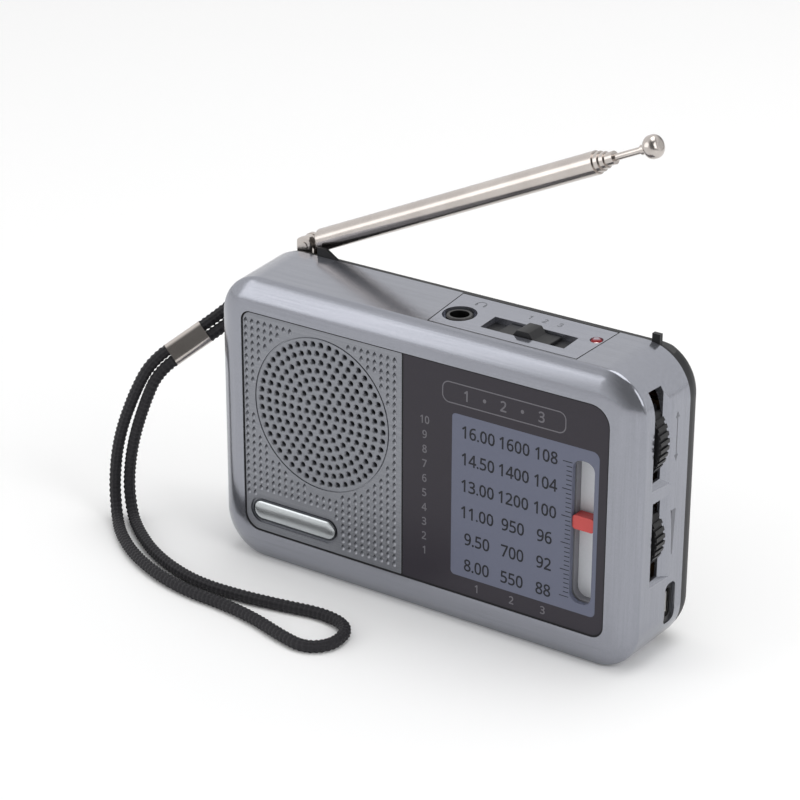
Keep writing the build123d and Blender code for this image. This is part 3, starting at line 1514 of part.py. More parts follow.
loop_points = [
    strap_top - strap_across * strand_half,
    strap_top - strap_across * strand_half - strap_along * 4.0,
    (-67.3, 4.9, 57.0),
    (-63.0, 9.6, 61.3),
    (-57.6, 10.1, 62.6),
    (-52.6, 10.1, 62.6),
    (-52.6, 10.1, 57.4),
    (-57.6, 10.1, 57.4),
    (-62.6, 9.4, 56.9),
    (-66.2, 4.9, 53.9),
    strap_top + strap_across * strand_half - strap_along * 4.0,
    strap_top + strap_across * strand_half,
]
hand_points = [
    strap_low - strap_across * strand_half,
    strap_low - strap_across * strand_half + strap_along * 4.9,
    (-84.8, -13.3, 35.0),
    (-89.9, -14.0, 22.0),
    (-91.7, -14.4, 9.5),
    (-88.8, -17.3, 1.5),
    (-82.0, -24.0, 1.5),
    (-72.2, -31.0, 1.5),
    (-60.8, -36.0, 1.5),
    (-49.4, -38.6, 1.5),
    (-38.4, -38.8, 1.5),
    (-27.6, -40.4, 1.5),
    (-18.0, -43.4, 1.5),
    (-9.8, -45.0, 1.5),
    (-5.0, -39.6, 1.5),
    (-7.0, -31.4, 1.5),
    (-15.5, -29.3, 1.5),
    (-26.0, -31.6, 1.5),
    (-37.4, -33.4, 1.5),
    (-48.6, -33.9, 1.5),
    (-59.2, -31.5, 1.5),
    (-69.8, -26.8, 1.5),
    (-79.2, -20.4, 1.5),
    (-86.0, -14.5, 1.5),
    (-89.1, -12.0, 8.6),
    (-87.1, -12.2, 20.2),
    (-82.4, -12.3, 32.7),
    strap_low + strap_across * strand_half + strap_along * 4.9,
    strap_low + strap_across * strand_half,
]


def bend_radii(points):
    """Arc radius at each corner: each arc uses 0.45 of the shorter run."""
    spots = [Vector(*point) if isinstance(point, tuple) else point for point in points]
    radii = []
    for before, corner, after in zip(spots, spots[1:], spots[2:]):
        first = corner - before
        second = after - corner
        half_turn = math.radians(first.get_angle(second)) / 2
        radii.append(0.45 * min(first.length, second.length) / math.tan(half_turn))
    return radii


for name, points in (("strap_loop", loop_points), ("strap_cord", hand_points)):
    radii = bend_radii(points)
    with BuildPart() as strap:
        with BuildLine() as route:
            FilletPolyline(*points, radius=radii)
        with BuildSketch(Plane(origin=route.line @ 0, z_dir=route.line % 0)):
            Circle(cord_r)
        sweep()
    strap.part.label = name
    export_step(strap.part, f"parts/{name}.step")
    run = route.wires()[0].length
    print(name, "arc radii, mm:", [round(radius, 1) for radius in radii])
    print(name, "length", round(run, 1), "volume", round(strap.part.volume, 1))
    print(name, "section times length", round(math.pi * cord_r**2 * run, 1))
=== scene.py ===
# %% [markdown]
# # A pocket shortwave receiver, dressed for its portrait
#
# The solids of the receiver come in as a fixed frame. This notebook gives
# them their finishes and adds what solids are too coarse for: the drilled
# and dimpled grille, the printed dial, the braided strap.
# Everything is in metres, in the frame of the solids: X to the right of
# someone who faces the dial, Y towards the back, Z up.

import json
import math

import bmesh
import bpy
import numpy as np
from mathutils import Matrix, Vector
from mathutils.bvhtree import BVHTree
from mathutils.geometry import delaunay_2d_cdt


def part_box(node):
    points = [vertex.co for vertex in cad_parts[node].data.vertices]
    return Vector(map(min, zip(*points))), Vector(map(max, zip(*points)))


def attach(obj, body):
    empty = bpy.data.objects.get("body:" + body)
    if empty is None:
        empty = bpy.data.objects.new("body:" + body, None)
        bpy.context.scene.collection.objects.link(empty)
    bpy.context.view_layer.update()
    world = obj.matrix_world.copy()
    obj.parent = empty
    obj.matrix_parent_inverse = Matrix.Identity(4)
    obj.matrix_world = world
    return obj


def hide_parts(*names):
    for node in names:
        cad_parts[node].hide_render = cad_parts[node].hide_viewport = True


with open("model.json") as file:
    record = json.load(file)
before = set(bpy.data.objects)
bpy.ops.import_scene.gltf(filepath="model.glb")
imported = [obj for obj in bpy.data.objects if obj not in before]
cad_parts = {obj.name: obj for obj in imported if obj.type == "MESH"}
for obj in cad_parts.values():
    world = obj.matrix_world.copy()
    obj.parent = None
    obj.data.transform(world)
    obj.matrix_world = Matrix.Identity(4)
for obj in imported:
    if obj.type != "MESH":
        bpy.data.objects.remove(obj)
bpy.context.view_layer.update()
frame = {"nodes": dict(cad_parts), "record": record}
scene = bpy.context.scene

# %% [markdown]
# ## The camera
#
# The camera looks at the front from the right and from above. A long lens,
# 123 mm on a full frame, keeps the casing's edges nearly parallel, as in a
# catalogue picture. Its three axes are written out as vectors, so the place
# and the turn can be read and changed one by one.

# %% Place the camera
camera_data = bpy.data.cameras.new("camera")
camera_data.sensor_width = 36.0
camera_data.lens = 123.2
camera_data.clip_start = 0.05
camera_data.clip_end = 20.0
camera = bpy.data.objects.new("camera", camera_data)
scene.collection.objects.link(camera)
scene.camera = camera

camera_place = Vector((0.3195, -0.4852, 0.3069))
forward = Vector((-0.5184, 0.7531, -0.4051)).normalized()
right = Vector((0.8231, 0.5678, 0.0024))
right = (right - forward * right.dot(forward)).normalized()
up = right.cross(forward)
turn = Matrix((right, up, -forward)).transposed()
camera.matrix_world = Matrix.Translation(camera_place) @ turn.to_4x4()
print("camera looks along", [round(c, 3) for c in forward])

# %% [markdown]
# ## Small helpers
#
# Colours are written as sRGB hex values and turned to linear light once.
# One function adds a shader node with its settings and its links, so each
# material below reads as a recipe. A millimetre is 0.001 m, and patterns
# on Object coordinates are scaled from sizes in millimetres.

# %% Helpers for objects, colours and nodes
MM = 0.001


def in_scene(name, data):
    """New object that shows a mesh, a curve or a lamp."""
    obj = bpy.data.objects.new(name, data)
    scene.collection.objects.link(obj)
    return obj


def linear(hex_colour):
    """sRGB hex to linear RGBA, by the sRGB curve."""
    parts = [int(hex_colour[i : i + 2], 16) / 255 for i in (1, 3, 5)]
    light = [c / 12.92 if c <= 0.04045 else ((c + 0.055) / 1.055) ** 2.4 for c in parts]
    return (*light, 1.0)


def add(tree, kind, inputs=None, **settings):
    """Adds one shader node; inputs holds values, or sockets to link from."""
    node = tree.nodes.new("ShaderNode" + kind)
    for name, value in settings.items():
        setattr(node, name, value)
    for key, value in (inputs or {}).items():
        if isinstance(value, bpy.types.NodeSocket):
            tree.links.new(value, node.inputs[key])
        else:
            node.inputs[key].default_value = value
    return node


def new_material(name, **plain):
    """A material with its Principled shader's plain values set."""
    material = bpy.data.materials.new(name)
    material.use_nodes = True
    tree = material.node_tree
    shader = tree.nodes["Principled BSDF"]
    for key, value in plain.items():
        shader.inputs[key.replace("_", " ")].default_value = value
    return material, tree, shader


def bumped(tree, shader, height, distance_mm):
    """Sends a height pattern to the shader's normal."""
    bump = add(tree, "Bump", {"Height": height, "Distance": distance_mm * MM, "Strength": 1.0})
    tree.links.new(bump.outputs["Normal"], shader.inputs["Normal"])


def noise(tree, size_mm, detail):
    """Noise on Object coordinates whose features are size_mm across."""
    where = add(tree, "TexCoord").outputs["Object"]
    return add(
        tree,
        "TexNoise",
        {"Vector": where, "Scale": 1.0 / (size_mm * MM), "Detail": detail, "Roughness": 0.5},
    )


def coloured(tree, shader, factor, first, second):
    """Gives the shader two hex colours mixed by a factor; returns the mix."""
    colours = {0: factor, 6: linear(first), 7: linear(second)}
    mix = add(tree, "Mix", colours, data_type="RGBA").outputs[2]
    tree.links.new(mix, shader.inputs["Base Color"])
    return mix


# The drawn grain turns along the casing's two ends: it changes over
# between these two distances from the middle.
GRAIN_TURNS = (49.0 * MM, 53.0 * MM)
GRAIN_ALONG, GRAIN_ACROSS = 40.0, 2500.0  # waves in a metre


def painted_plastic(name, colour, second, speck_mm, roughness, bump_mm):
    """Aluminium-flake lacquer over moulded ABS, with a faint drawn grain.

    The grain runs along the longer way of each side: along X in the middle
    of the casing, and along Z near its two ends, where |X| is large.
    """
    material, tree, shader = new_material(name, Metallic=0.8, Roughness=roughness)
    where = add(tree, "TexCoord").outputs["Object"]
    apart = add(tree, "SeparateXYZ", {0: where})
    off_middle = add(tree, "Math", {0: apart.outputs["X"]}, operation="ABSOLUTE")
    near_end = add(
        tree,
        "MapRange",
        {"Value": off_middle.outputs[0], "From Min": GRAIN_TURNS[0], "From Max": GRAIN_TURNS[1]},
    )
    ways = ((GRAIN_ALONG, GRAIN_ACROSS, GRAIN_ACROSS), (GRAIN_ACROSS, GRAIN_ACROSS, GRAIN_ALONG))
    drawn = [add(tree, "Mapping", {"Vector": where, "Scale": way}) for way in ways]
    streaks = [
        add(tree, "TexNoise", {"Vector": line.outputs[0], "Scale": 1.0, "Detail": 3.0})
        for line in drawn
    ]
    grain = add(
        tree,
        "Mix",
        {0: near_end.outputs[0], 2: streaks[0].outputs["Fac"], 3: streaks[1].outputs["Fac"]},
        data_type="FLOAT",
    )
    speck = noise(tree, speck_mm, detail=3.0)
    both = add(tree, "Math", {0: grain.outputs[0], 1: speck.outputs["Fac"]}, operation="ADD")
    spread = add(tree, "MapRange", {"Value": both.outputs[0], "From Min": 0.4, "From Max": 1.6})
    coloured(tree, shader, spread.outputs[0], colour, second)
    bumped(tree, shader, both.outputs[0], bump_mm)
    return material


def moulded_plastic(name, colour, second, grain_mm, roughness, bump_mm):
    """Plastic, ink or paper, with the fine grain of its mould or its print."""
    plain = {"Roughness": roughness, "IOR": 1.53, "Specular_IOR_Level": 0.3}
    material, tree, shader = new_material(name, **plain)
    grain = noise(tree, grain_mm, detail=2.0).outputs["Fac"]
    coloured(tree, shader, grain, colour, second)
    bumped(tree, shader, grain, bump_mm)
    return material


TARNISH_MM, LINE_MM = 6.0, 0.004  # width of a patch, and depth of a line


def plated_metal(name, colour, second, roughness, brush_mm=0.5):
    """Plated or bare metal: faint lines and a little tarnish."""
    material, tree, shader = new_material(name, Metallic=1.0, Roughness=roughness)
    lines = noise(tree, brush_mm, detail=3.0)
    tarnish = noise(tree, TARNISH_MM, detail=2.0)
    coloured(tree, shader, tarnish.outputs["Fac"], colour, second)
    bumped(tree, shader, lines.outputs["Fac"], LINE_MM)
    return material


print("the casing's grey in linear light:", [round(c, 3) for c in linear("#888A92")])

# %% [markdown]
# ## Finishes of the solids
#
# The casing is ABS sprayed a satin silver-grey, the back is black grained
# ABS, the antenna and the strap's clasp are nickel plate. Inside are a
# resin board, tinned cans, a paper cone. Each finish is named for what the
# real one is and how it was made.

# %% Finishes
# Each line: name, two colours that a pattern mixes, the pattern's size in
# mm (paint and plastic), roughness, and the bump's height or line's size.

# Lacquers: soft wide reflections, drawn out along the grain.
casing_paint = painted_plastic("flake lacquer on ABS", "#888A92", "#A0A2AA", 0.30, 0.17, 0.003)
grille_paint = painted_plastic(
    "flake lacquer on the grille", "#77797F", "#96989E", 0.25, 0.38, 0.006
)
top_paint = painted_plastic(
    "flake lacquer on the top plate", "#8B8D96", "#A4A6AF", 0.30, 0.15, 0.002
)

# Plated metals: sharp reflections; the rougher ones read as dull or drawn.
badge_metal = plated_metal("satin chromed badge", "#C6CACC", "#B4B8BA", 0.25)
dark_chrome = plated_metal("black chrome rim", "#4A4C50", "#3C3E42", 0.22)
steel_plate = plated_metal("zinc plated steel", "#B5B0A8", "#A39E96", 0.32)
nickel_plate = plated_metal("brushed nickel plate", "#CFC8C3", "#B4ADA8", 0.22, 0.8)
jack_metal = plated_metal("dull nickel of the socket ring", "#4C4B4C", "#403F40", 0.38, 0.8)
gold_plate = plated_metal("gold plated spring bronze", "#D9B36A", "#CFA455", 0.22)
tin_plate = plated_metal("tinned steel can", "#C2C2BE", "#B0B0AC", 0.30)
copper_wire = plated_metal("enamelled copper wire", "#B0603A", "#9A4C2A", 0.30)

# The dial: a satin dark sheet, matt inks on it, and pale trays behind it.
smoked_lens = moulded_plastic("smoked acrylic lens", "#2F2B33", "#2B272F", 0.4, 0.34, 0.002)
window_film = moulded_plastic("grey-blue printed film", "#666A7C", "#626678", 0.6, 0.36, 0.002)
dark_ink = moulded_plastic("dark screen-printing ink", "#15161D", "#1B1C24", 0.3, 0.5, 0.003)
grey_ink = moulded_plastic("grey screen-printing ink", "#6C6A70", "#67656B", 0.3, 0.5, 0.003)
mark_ink = moulded_plastic("faint grey marking ink", "#6E7076", "#686A70", 0.3, 0.5, 0.003)
grey_tray = moulded_plastic("grey polystyrene tray", "#96969C", "#909096", 0.4, 0.5, 0.006)
pale_tray = moulded_plastic("pale polystyrene strip", "#E6E8EC", "#DEE0E4", 0.5, 0.45, 0.004)
red_abs = moulded_plastic("red pointer in polystyrene", "#C4504E", "#BC4846", 0.5, 0.35, 0.004)

# Black mouldings: grained and dull, the wheels a little shinier from use.
black_abs = moulded_plastic("black grained ABS", "#1B1B1D", "#232325", 0.35, 0.48, 0.012)
wheel_abs = moulded_plastic("black ABS of the thumbwheels", "#151517", "#1C1C1E", 0.4, 0.42, 0.008)
# Painted gap shade: a near-black sheet put in the seams round the plates, where there is only the
# gaps' shade.
gap_shade_black = moulded_plastic("painted gap shade", "#161617", "#1D1D1F", 0.3, 0.8, 0.01)

# Inside: sintered, pressed, wound and wrapped things, mostly matt.
dark_iron = moulded_plastic("sintered ferrite", "#2A2A2C", "#343436", 0.25, 0.65, 0.010)
paper_cone = moulded_plastic("black paper cone", "#1A1A1A", "#242424", 0.6, 0.85, 0.03)
resin_board = moulded_plastic("phenolic resin board", "#4A3722", "#40301E", 0.8, 0.5, 0.006)
milky_film = moulded_plastic("polystyrene film tuner", "#D8D6CC", "#CFCCBF", 1.2, 0.35, 0.004)
wrapped_cell = moulded_plastic(
    "printed film round the cell", "#2C3848", "#334052", 1.5, 0.38, 0.004
)
waxed_string = moulded_plastic("waxed dial cord", "#CDBF9C", "#B9AA86", 0.25, 0.7, 0.02)

# The lamp: clear red resin that glows white in the middle, where its chip is.
lamp_resin, lamp_tree, lamp_shader = new_material(
    "lit red epoxy lamp", Roughness=0.15, IOR=1.54, Emission_Strength=0.7
)
lamp_lo, lamp_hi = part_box("tuning_lamp")
lamp_where = add(
    lamp_tree,
    "Mapping",
    {
        "Vector": add(lamp_tree, "TexCoord").outputs["Object"],
        "Location": (-(lamp_lo.x + lamp_hi.x) / 2, -(lamp_lo.y + lamp_hi.y) / 2, 0.0),
    },
)
lamp_flat = add(
    lamp_tree, "VectorMath", {0: lamp_where.outputs[0], 1: (1.0, 1.0, 0.0)}, operation="MULTIPLY"
)
lamp_out = add(lamp_tree, "VectorMath", {0: lamp_flat.outputs[0]}, operation="LENGTH")
lamp_ring = add(
    lamp_tree,
    "MapRange",
    {"Value": lamp_out.outputs["Value"], "From Min": 0.5 * MM, "From Max": 0.95 * MM},
)
lamp_colour = coloured(lamp_tree, lamp_shader, lamp_ring.outputs[0], "#FFF4F2", "#D8332C")
lamp_tree.links.new(lamp_colour, lamp_shader.inputs["Emission Color"])

antenna = [f"antenna_tube_{n}" for n in range(1, 5)] + ["antenna_whip", "antenna_knob"]
antenna += ["antenna_fork", "antenna_knuckle", "antenna_pin"]
black_parts = ["switch_plate", "back_cover", "battery_door", "band_slider", "volume_control"]
black_parts += ["radio_chip", "capacitors", "headphone_jack", "band_switch"]
nodes_in = (
    (casing_paint, ["front_shell"]),
    (grille_paint, ["grille_plate"]),
    (top_paint, ["top_plate"]),
    (badge_metal, ["badge"]),
    (smoked_lens, ["dial_lens"]),
    (grey_tray, ["dial_backing"]),
    (pale_tray, ["dial_strip"]),
    (red_abs, ["pointer"]),
    (wheel_abs, ["tuning_wheel", "volume_wheel"]),
    (black_abs, black_parts),
    (jack_metal, ["jack_ring"]),
    (lamp_resin, ["tuning_lamp"]),
    (resin_board, ["circuit_board"]),
    (milky_film, ["tuning_capacitor"]),
    (tin_plate, ["coil_cans", "usb_socket"]),
    (paper_cone, ["speaker_cone"]),
    (dark_iron, ["speaker_magnet", "ferrite_rod"]),
    (copper_wire, ["ferrite_coil"]),
    (wrapped_cell, ["battery_pack"]),
    (gold_plate, ["battery_contacts"]),
    (waxed_string, ["dial_cord"]),
    (nickel_plate, [*antenna, "strap_ferrule"]),
)
finish_of = {node_name: finish for finish, names in nodes_in for node_name in names}
for node_name, obj in frame["nodes"].items():
    obj.data.materials.clear()
    obj.data.materials.append(finish_of.get(node_name, steel_plate))
print("finishes given:", len(nodes_in) + 1)

# %% [markdown]
# ## Smooth copies of the moulded parts
#
# The solids arrive as loose flat triangles, so a rounded edge shows its
# facets. In a copy, doubled points are merged and the triangles of one flat
# become one face. It is shaded smooth, with a crease wherever two faces
# meet at more than a given angle, and normals that lean to the larger face
# keep the flats flat. The copy stands for the node.

# %% Merge, smooth and stand in for a node
body_of_node = {
    node_name: body_name
    for body_name, names in frame["record"]["behaviour"]["bodies"].items()
    for node_name in names
}
SAME_POINT = 0.002 * MM
SAME_FLAT = math.radians(0.3)
CREASE = math.radians(28.0)
LEAN_TO_LARGE = 90  # 50 weighs faces by their area, 100 lets the largest win


def smooth_copy(node):
    """Merged copy of a node, shaded smooth between its creases."""
    source = frame["nodes"][node].data
    work = bmesh.new()
    work.from_mesh(source)
    bmesh.ops.remove_doubles(work, verts=work.verts, dist=SAME_POINT)
    bmesh.ops.dissolve_limit(work, angle_limit=SAME_FLAT, verts=work.verts, edges=work.edges)
    mesh = bpy.data.meshes.new(node + "_surface")
    work.to_mesh(mesh)
    work.free()
    for finish in source.materials:
        mesh.materials.append(finish)
    if "custom_normal" in mesh.attributes:
        # The kept normals belong to the faces as they were, and mislead the creases.
        mesh.attributes.remove(mesh.attributes["custom_normal"])
    mesh.shade_smooth()
    mesh.set_sharp_from_angle(angle=CREASE)
    obj = in_scene(node + "_surface", mesh)
    weigh = obj.modifiers.new("flat faces stay flat", "WEIGHTED_NORMAL")
    weigh.keep_sharp = True
    weigh.weight = LEAN_TO_LARGE
    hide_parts(node)
    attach(obj, body_of_node[node])


smoothed = ["front_shell", "back_cover", "top_plate", "tuning_wheel", "volume_wheel"]
smoothed += ["battery_door", "jack_ring", "tuning_lamp", "strap_ferrule", *antenna]
for node_name in smoothed:
    smooth_copy(node_name)
print("smooth copies:", len(smoothed))

# %% [markdown]
# ## The wrist strap
#
# The strap is a soft cord doubled into a loop for the hand and a small one
# for the bar in the casing. Each is one length of cord. Its line is a
# smooth spline through the air and along the table, and the cord itself is
# a tube carried along that line.

# %% The lines of the two loops
CORD_R = 1.45 * MM
strap_top = np.array((-71.8, -1.0, 50.2)) * MM
strap_along = np.array((-0.539, -0.661, -0.521))
strap_along /= np.linalg.norm(strap_along)
strap_across = np.array((0.666, 0.044, -0.744))
strap_across /= np.linalg.norm(strap_across)
strap_low = strap_top + strap_along * 10.2 * MM
half = strap_across * 1.5 * MM


def in_metres(*spots):
    """Places given in millimetres, in metres."""
    return [np.array(spot) * MM for spot in spots]


loop_points = [
    strap_top - half,
    strap_top - half - strap_along * 4.0 * MM,
    *in_metres(
        (-67.3, 4.9, 57.0), (-63.0, 9.6, 61.3), (-57.6, 10.1, 62.6),
        (-52.6, 10.1, 62.6), (-52.6, 10.1, 57.4), (-57.6, 10.1, 57.4),
        (-62.6, 9.4, 56.9), (-66.2, 4.9, 53.9),
    ),
    strap_top + half - strap_along * 4.0 * MM,
    strap_top + half,
]
hand_points = [
    strap_low - half,
    strap_low - half + strap_along * 4.9 * MM,
    *in_metres(
        (-84.8, -13.3, 35.0), (-89.9, -14.0, 22.0), (-91.7, -14.4, 9.5),
        (-88.8, -17.3, 1.5), (-82.0, -24.0, 1.5), (-72.2, -31.0, 1.5),
        (-60.8, -36.0, 1.5), (-49.4, -38.6, 1.5), (-38.4, -38.8, 1.5),
        (-27.6, -40.4, 1.5), (-18.0, -43.4, 1.5), (-9.8, -45.0, 1.5), (-5.0, -39.6, 1.5),
        (-7.0, -31.4, 1.5), (-15.5, -29.3, 1.5), (-26.0, -31.6, 1.5),
        (-37.4, -33.4, 1.5), (-48.6, -33.9, 1.5), (-59.2, -31.5, 1.5),
        (-69.8, -26.8, 1.5), (-79.2, -20.4, 1.5), (-86.0, -14.5, 1.5),
        (-89.1, -12.0, 8.6), (-87.1, -12.2, 20.2), (-82.4, -12.3, 32.7),
    ),
    strap_low + half + strap_along * 4.9 * MM,
    strap_low + half,
]


def drawn_mesh(carrier):
    """Mesh that a curve or a line of type makes, which the caller removes."""
    bpy.context.view_layer.update()
    return bpy.data.meshes.new_from_object(
        carrier.evaluated_get(bpy.context.evaluated_depsgraph_get())
    )


def points_of(mesh):
    """A mesh's points as rows of three."""
    spots = np.empty(3 * len(mesh.vertices))
    mesh.vertices.foreach_get("co", spots)
    return spots.reshape(-1, 3)


def spline_line(name, points, steps):
    """Points on a quadratic NURBS line whose control points are given."""
    curve = bpy.data.curves.new(name, "CURVE")
    curve.dimensions = "3D"
    curve.resolution_u = steps
    spline = curve.splines.new("NURBS")
    spline.points.add(len(points) - 1)
    for control, spot in zip(spline.points, points):
        control.co = (*spot, 1.0)
    spline.order_u = 3
    spline.use_endpoint_u = True
    carrier = in_scene(name, curve)
    line = drawn_mesh(carrier)
    spots = points_of(line)
    bpy.data.objects.remove(carrier)
    bpy.data.meshes.remove(line)
    return spots


def length_mm(line):
    """Length of a line of points, in millimetres."""
    return round(np.linalg.norm(np.diff(line, axis=0), axis=1).sum() / MM, 1)


loop_line = spline_line("small loop", loop_points, 24)
hand_line = spline_line("hand loop", hand_points, 40)
print("loop, mm:", length_mm(loop_line), "hand, mm:", length_mm(hand_line))

# %% [markdown]
# ## Braid along a line
#
# A woven cord is a lattice of small raised stitches. Going round the cord
# by an angle and along it by a length, the stitches stand where two slanted
# waves cross, and the product of their sines gives one bump per crossing.
# The ring of each step is carried along the line without twist: each new
# frame is the last one turned by the smallest turn onto the new direction.

# %% A tube whose skin is a braid


def carried_frames(line):
    """Unit tangents, and two normals carried along a line with least twist."""
    tangents = np.gradient(line, axis=0)
    tangents /= np.linalg.norm(tangents, axis=1, keepdims=True)
    first = np.cross(tangents[0], (0.3, 0.2, 0.9))
    first /= np.linalg.norm(first)
    normals = np.empty_like(line)
    normals[0] = first
    for step in range(1, len(line)):
        flat = normals[step - 1] - tangents[step] * normals[step - 1].dot(tangents[step])
        normals[step] = flat / np.linalg.norm(flat)
    return tangents, normals, np.cross(tangents, normals)


def even_line(line, step):
    """The same line with its points an equal length apart."""
    gaps = np.linalg.norm(np.diff(line, axis=0), axis=1)
    along = np.concatenate(([0.0], np.cumsum(gaps)))
    count = int(round(along[-1] / step)) + 1
    wanted = np.linspace(0.0, along[-1], count)
    return np.stack([np.interp(wanted, along, line[:, axis]) for axis in range(3)], axis=1), wanted


def tube_mesh(name, points, uv):
    """Mesh of rings of points (rings, columns, 3), each ring and end closed.

    An end is closed with a fan round its middle. uv holds a flat place for
    each point, kept as the map called weave.
    """
    rows, columns = points.shape[:2]
    index = np.arange(rows * columns).reshape(rows, columns)
    index = np.concatenate((index, index[:, :1]), axis=1)
    quads = np.stack(
        (index[:-1, :-1], index[:-1, 1:], index[1:, 1:], index[1:, :-1]), axis=-1
    ).reshape(-1, 4)
    ends = np.stack((points[0].mean(axis=0), points[-1].mean(axis=0)))
    verts = np.concatenate((points.reshape(-1, 3), ends))
    low, high = rows * columns, rows * columns + 1
    first, last = index[0], index[-1]
    faces = quads.tolist()
    faces += [[low, b, a] for a, b in zip(first[:-1], first[1:])]
    faces += [[high, a, b] for a, b in zip(last[:-1], last[1:])]
    mesh = bpy.data.meshes.new(name)
    mesh.from_pydata(verts.tolist(), [], faces)
    layer = mesh.uv_layers.new(name="weave")
    corners = np.empty(len(mesh.loops), dtype=np.int32)
    mesh.loops.foreach_get("vertex_index", corners)
    values = np.zeros((len(verts), 2))
    values[: rows * columns] = uv.reshape(-1, 2)
    layer.data.foreach_set("uv", values[corners].ravel())
    mesh.update()
    mesh.shade_smooth()
    return mesh


def place(mesh, body, material):
    """Adds a mesh to the scene as a piece that rides on a body."""
    obj = in_scene(mesh.name, mesh)
    mesh.materials.append(material)
    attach(obj, body)
    return obj


STITCHES = 9
STITCH_LEN = 1.3 * MM
RELIEF = 0.15
RING_POINTS = 36
RING_STEP = 0.2 * MM


def braided_tube(name, line, radius):
    """Tube of a braided cord.

    With angle a and length s, the radius is
    R (1 - relief + relief (0.5 + sin(n a / 2 + k s) sin(n a / 2 - k s))),
    n stitches round and k = pi / stitch length.
    """
    centre, along = even_line(line, RING_STEP)
    _, normals, sides = carried_frames(centre)
    angle = np.linspace(0.0, 2 * math.pi, RING_POINTS, endpoint=False)
    wave = along[:, None] * math.pi / STITCH_LEN
    turns = STITCHES * angle[None, :]
    lattice = np.sin(turns / 2 + wave) * np.sin(turns / 2 - wave)
    reach = radius * (1 - RELIEF + RELIEF * (0.5 + lattice))
    ring = (
        np.cos(angle)[None, :, None] * normals[:, None, :]
        + np.sin(angle)[None, :, None] * sides[:, None, :]
    )
    points = centre[:, None, :] + ring * reach[..., None]
    uv = np.stack(np.broadcast_arrays(angle[None, :] * radius, along[:, None]), axis=-1)
    return tube_mesh(name, points, uv)


# %% [markdown]
# The cord is black polyester. Each stitch is a bundle of fine threads, so
# the light catches the crowns a little and the gaps go nearly black. The
# threads are drawn along the cord from its own UV map.

# %% Weave the strap
THREAD_W, THREAD_L = 0.12, 0.5  # mm across and along a thread's marks
braid, braid_tree, braid_shader = new_material(
    "woven black polyester", Roughness=0.7, Sheen_Weight=0.04, Sheen_Roughness=0.4
)
braid_uv = add(braid_tree, "UVMap", uv_map="weave")
thread_scale = add(
    braid_tree,
    "Mapping",
    {"Vector": braid_uv.outputs["UV"], "Scale": (1 / (THREAD_W * MM), 1 / (THREAD_L * MM), 1.0)},
)
threads = add(
    braid_tree, "TexNoise", {"Vector": thread_scale.outputs["Vector"], "Scale": 1.0, "Detail": 2.0}
)
coloured(braid_tree, braid_shader, threads.outputs["Fac"], "#0E0D11", "#211F25")
bumped(braid_tree, braid_shader, threads.outputs["Fac"], 0.05)

hand_cord = place(braided_tube("hand_loop_braid", hand_line, CORD_R), "casing", braid)
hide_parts("strap_cord")
small_cord = place(braided_tube("small_loop_braid", loop_line, CORD_R), "casing", braid)
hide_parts("strap_loop")
print("braid faces:", len(hand_cord.data.polygons) + len(small_cord.data.polygons))

# %% [markdown]
# ## Flat sheets with holes, and what lines the holes
#
# The grille, the dial lens and the prints are all flat sheets bounded by
# closed loops. A constrained Delaunay fill turns loops into triangles, and
# a test on each triangle's middle says which ones are sheet and which are
# hole. Holes, pits and grooves are then lined with small grids of points
# whose first row is the same loop, so the merge at the end closes the seam.
# Loops are worked out in millimetres on the front plane, X to the right and
# Z up, and a depth is counted from the front plane towards the back.

# %% Loops, fills and linings
FRONT_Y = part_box("front_shell")[0][1] / MM


def box_mm(*nodes):
    """Lowest and highest corners of some nodes together, in millimetres."""
    corners = np.array([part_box(name) for name in nodes]) / MM
    return corners[:, 0].min(axis=0), corners[:, 1].max(axis=0)


def circle(centre, radius, count):
    """Closed loop: centre + r (cos a, sin a), a from 0 to one turn."""
    angle = np.linspace(0, 2 * math.pi, count, endpoint=False)
    return np.asarray(centre) + radius * np.stack((np.cos(angle), np.sin(angle)), axis=1)


def rounded(low, high, radii, per_corner=12):
    """Rounded rectangle: four quarter turns, anticlockwise from the lower left.

    low and high are its opposite corners. radii are those of the lower
    left, lower right, upper right and upper left corners, each centred r
    inside its own corner.
    """
    (left, bottom), (right, top) = low, high
    start = np.array([math.pi, 1.5 * math.pi, 0.0, 0.5 * math.pi])
    radii = np.broadcast_to(np.asarray(radii, dtype=float), 4)
    middle_x = np.array([left, right, right, left]) + radii * np.array([1, -1, -1, 1])
    middle_z = np.array([bottom, bottom, top, top]) + radii * np.array([1, 1, -1, -1])
    angle = start[:, None] + np.linspace(0, math.pi / 2, per_corner)[None, :]
    round_x = middle_x[:, None] + radii[:, None] * np.cos(angle)
    round_z = middle_z[:, None] + radii[:, None] * np.sin(angle)
    return np.stack((round_x.ravel(), round_z.ravel()), axis=1)


def stadium(centre, length, height, per_end=24):
    """Slot shape: a rounded rectangle whose corner radius is half its height."""
    half = np.array((length, height)) / 2
    return rounded(centre - half, centre + half, half[1] - 1e-4, per_end)


def inside(points, loop):
    """Whether each point is inside a loop: an odd count of crossings to its right."""
    ax, az = loop[:, 0], loop[:, 1]
    bx, bz = np.roll(ax, -1), np.roll(az, -1)
    px, pz = points[:, 0, None], points[:, 1, None]
    spans = (az > pz) != (bz > pz)
    where = ax + (pz - az) * (bx - ax) / np.where(bz == az, 1e-12, bz - az)
    return (spans & (px < where)).sum(axis=1) % 2 == 1


def within(loop):
    """Test for a sheet that fills a loop."""
    return lambda middles: inside(middles, loop)


def between(outer, inner):
    """Test for a sheet that fills an outer loop but not the inner one."""
    return lambda middles: inside(middles, outer) & ~inside(middles, inner)


def metres(x, y, z):
    """Places in metres from three coordinates in millimetres."""
    return np.stack(np.broadcast_arrays(x, y, z), axis=-1) * MM


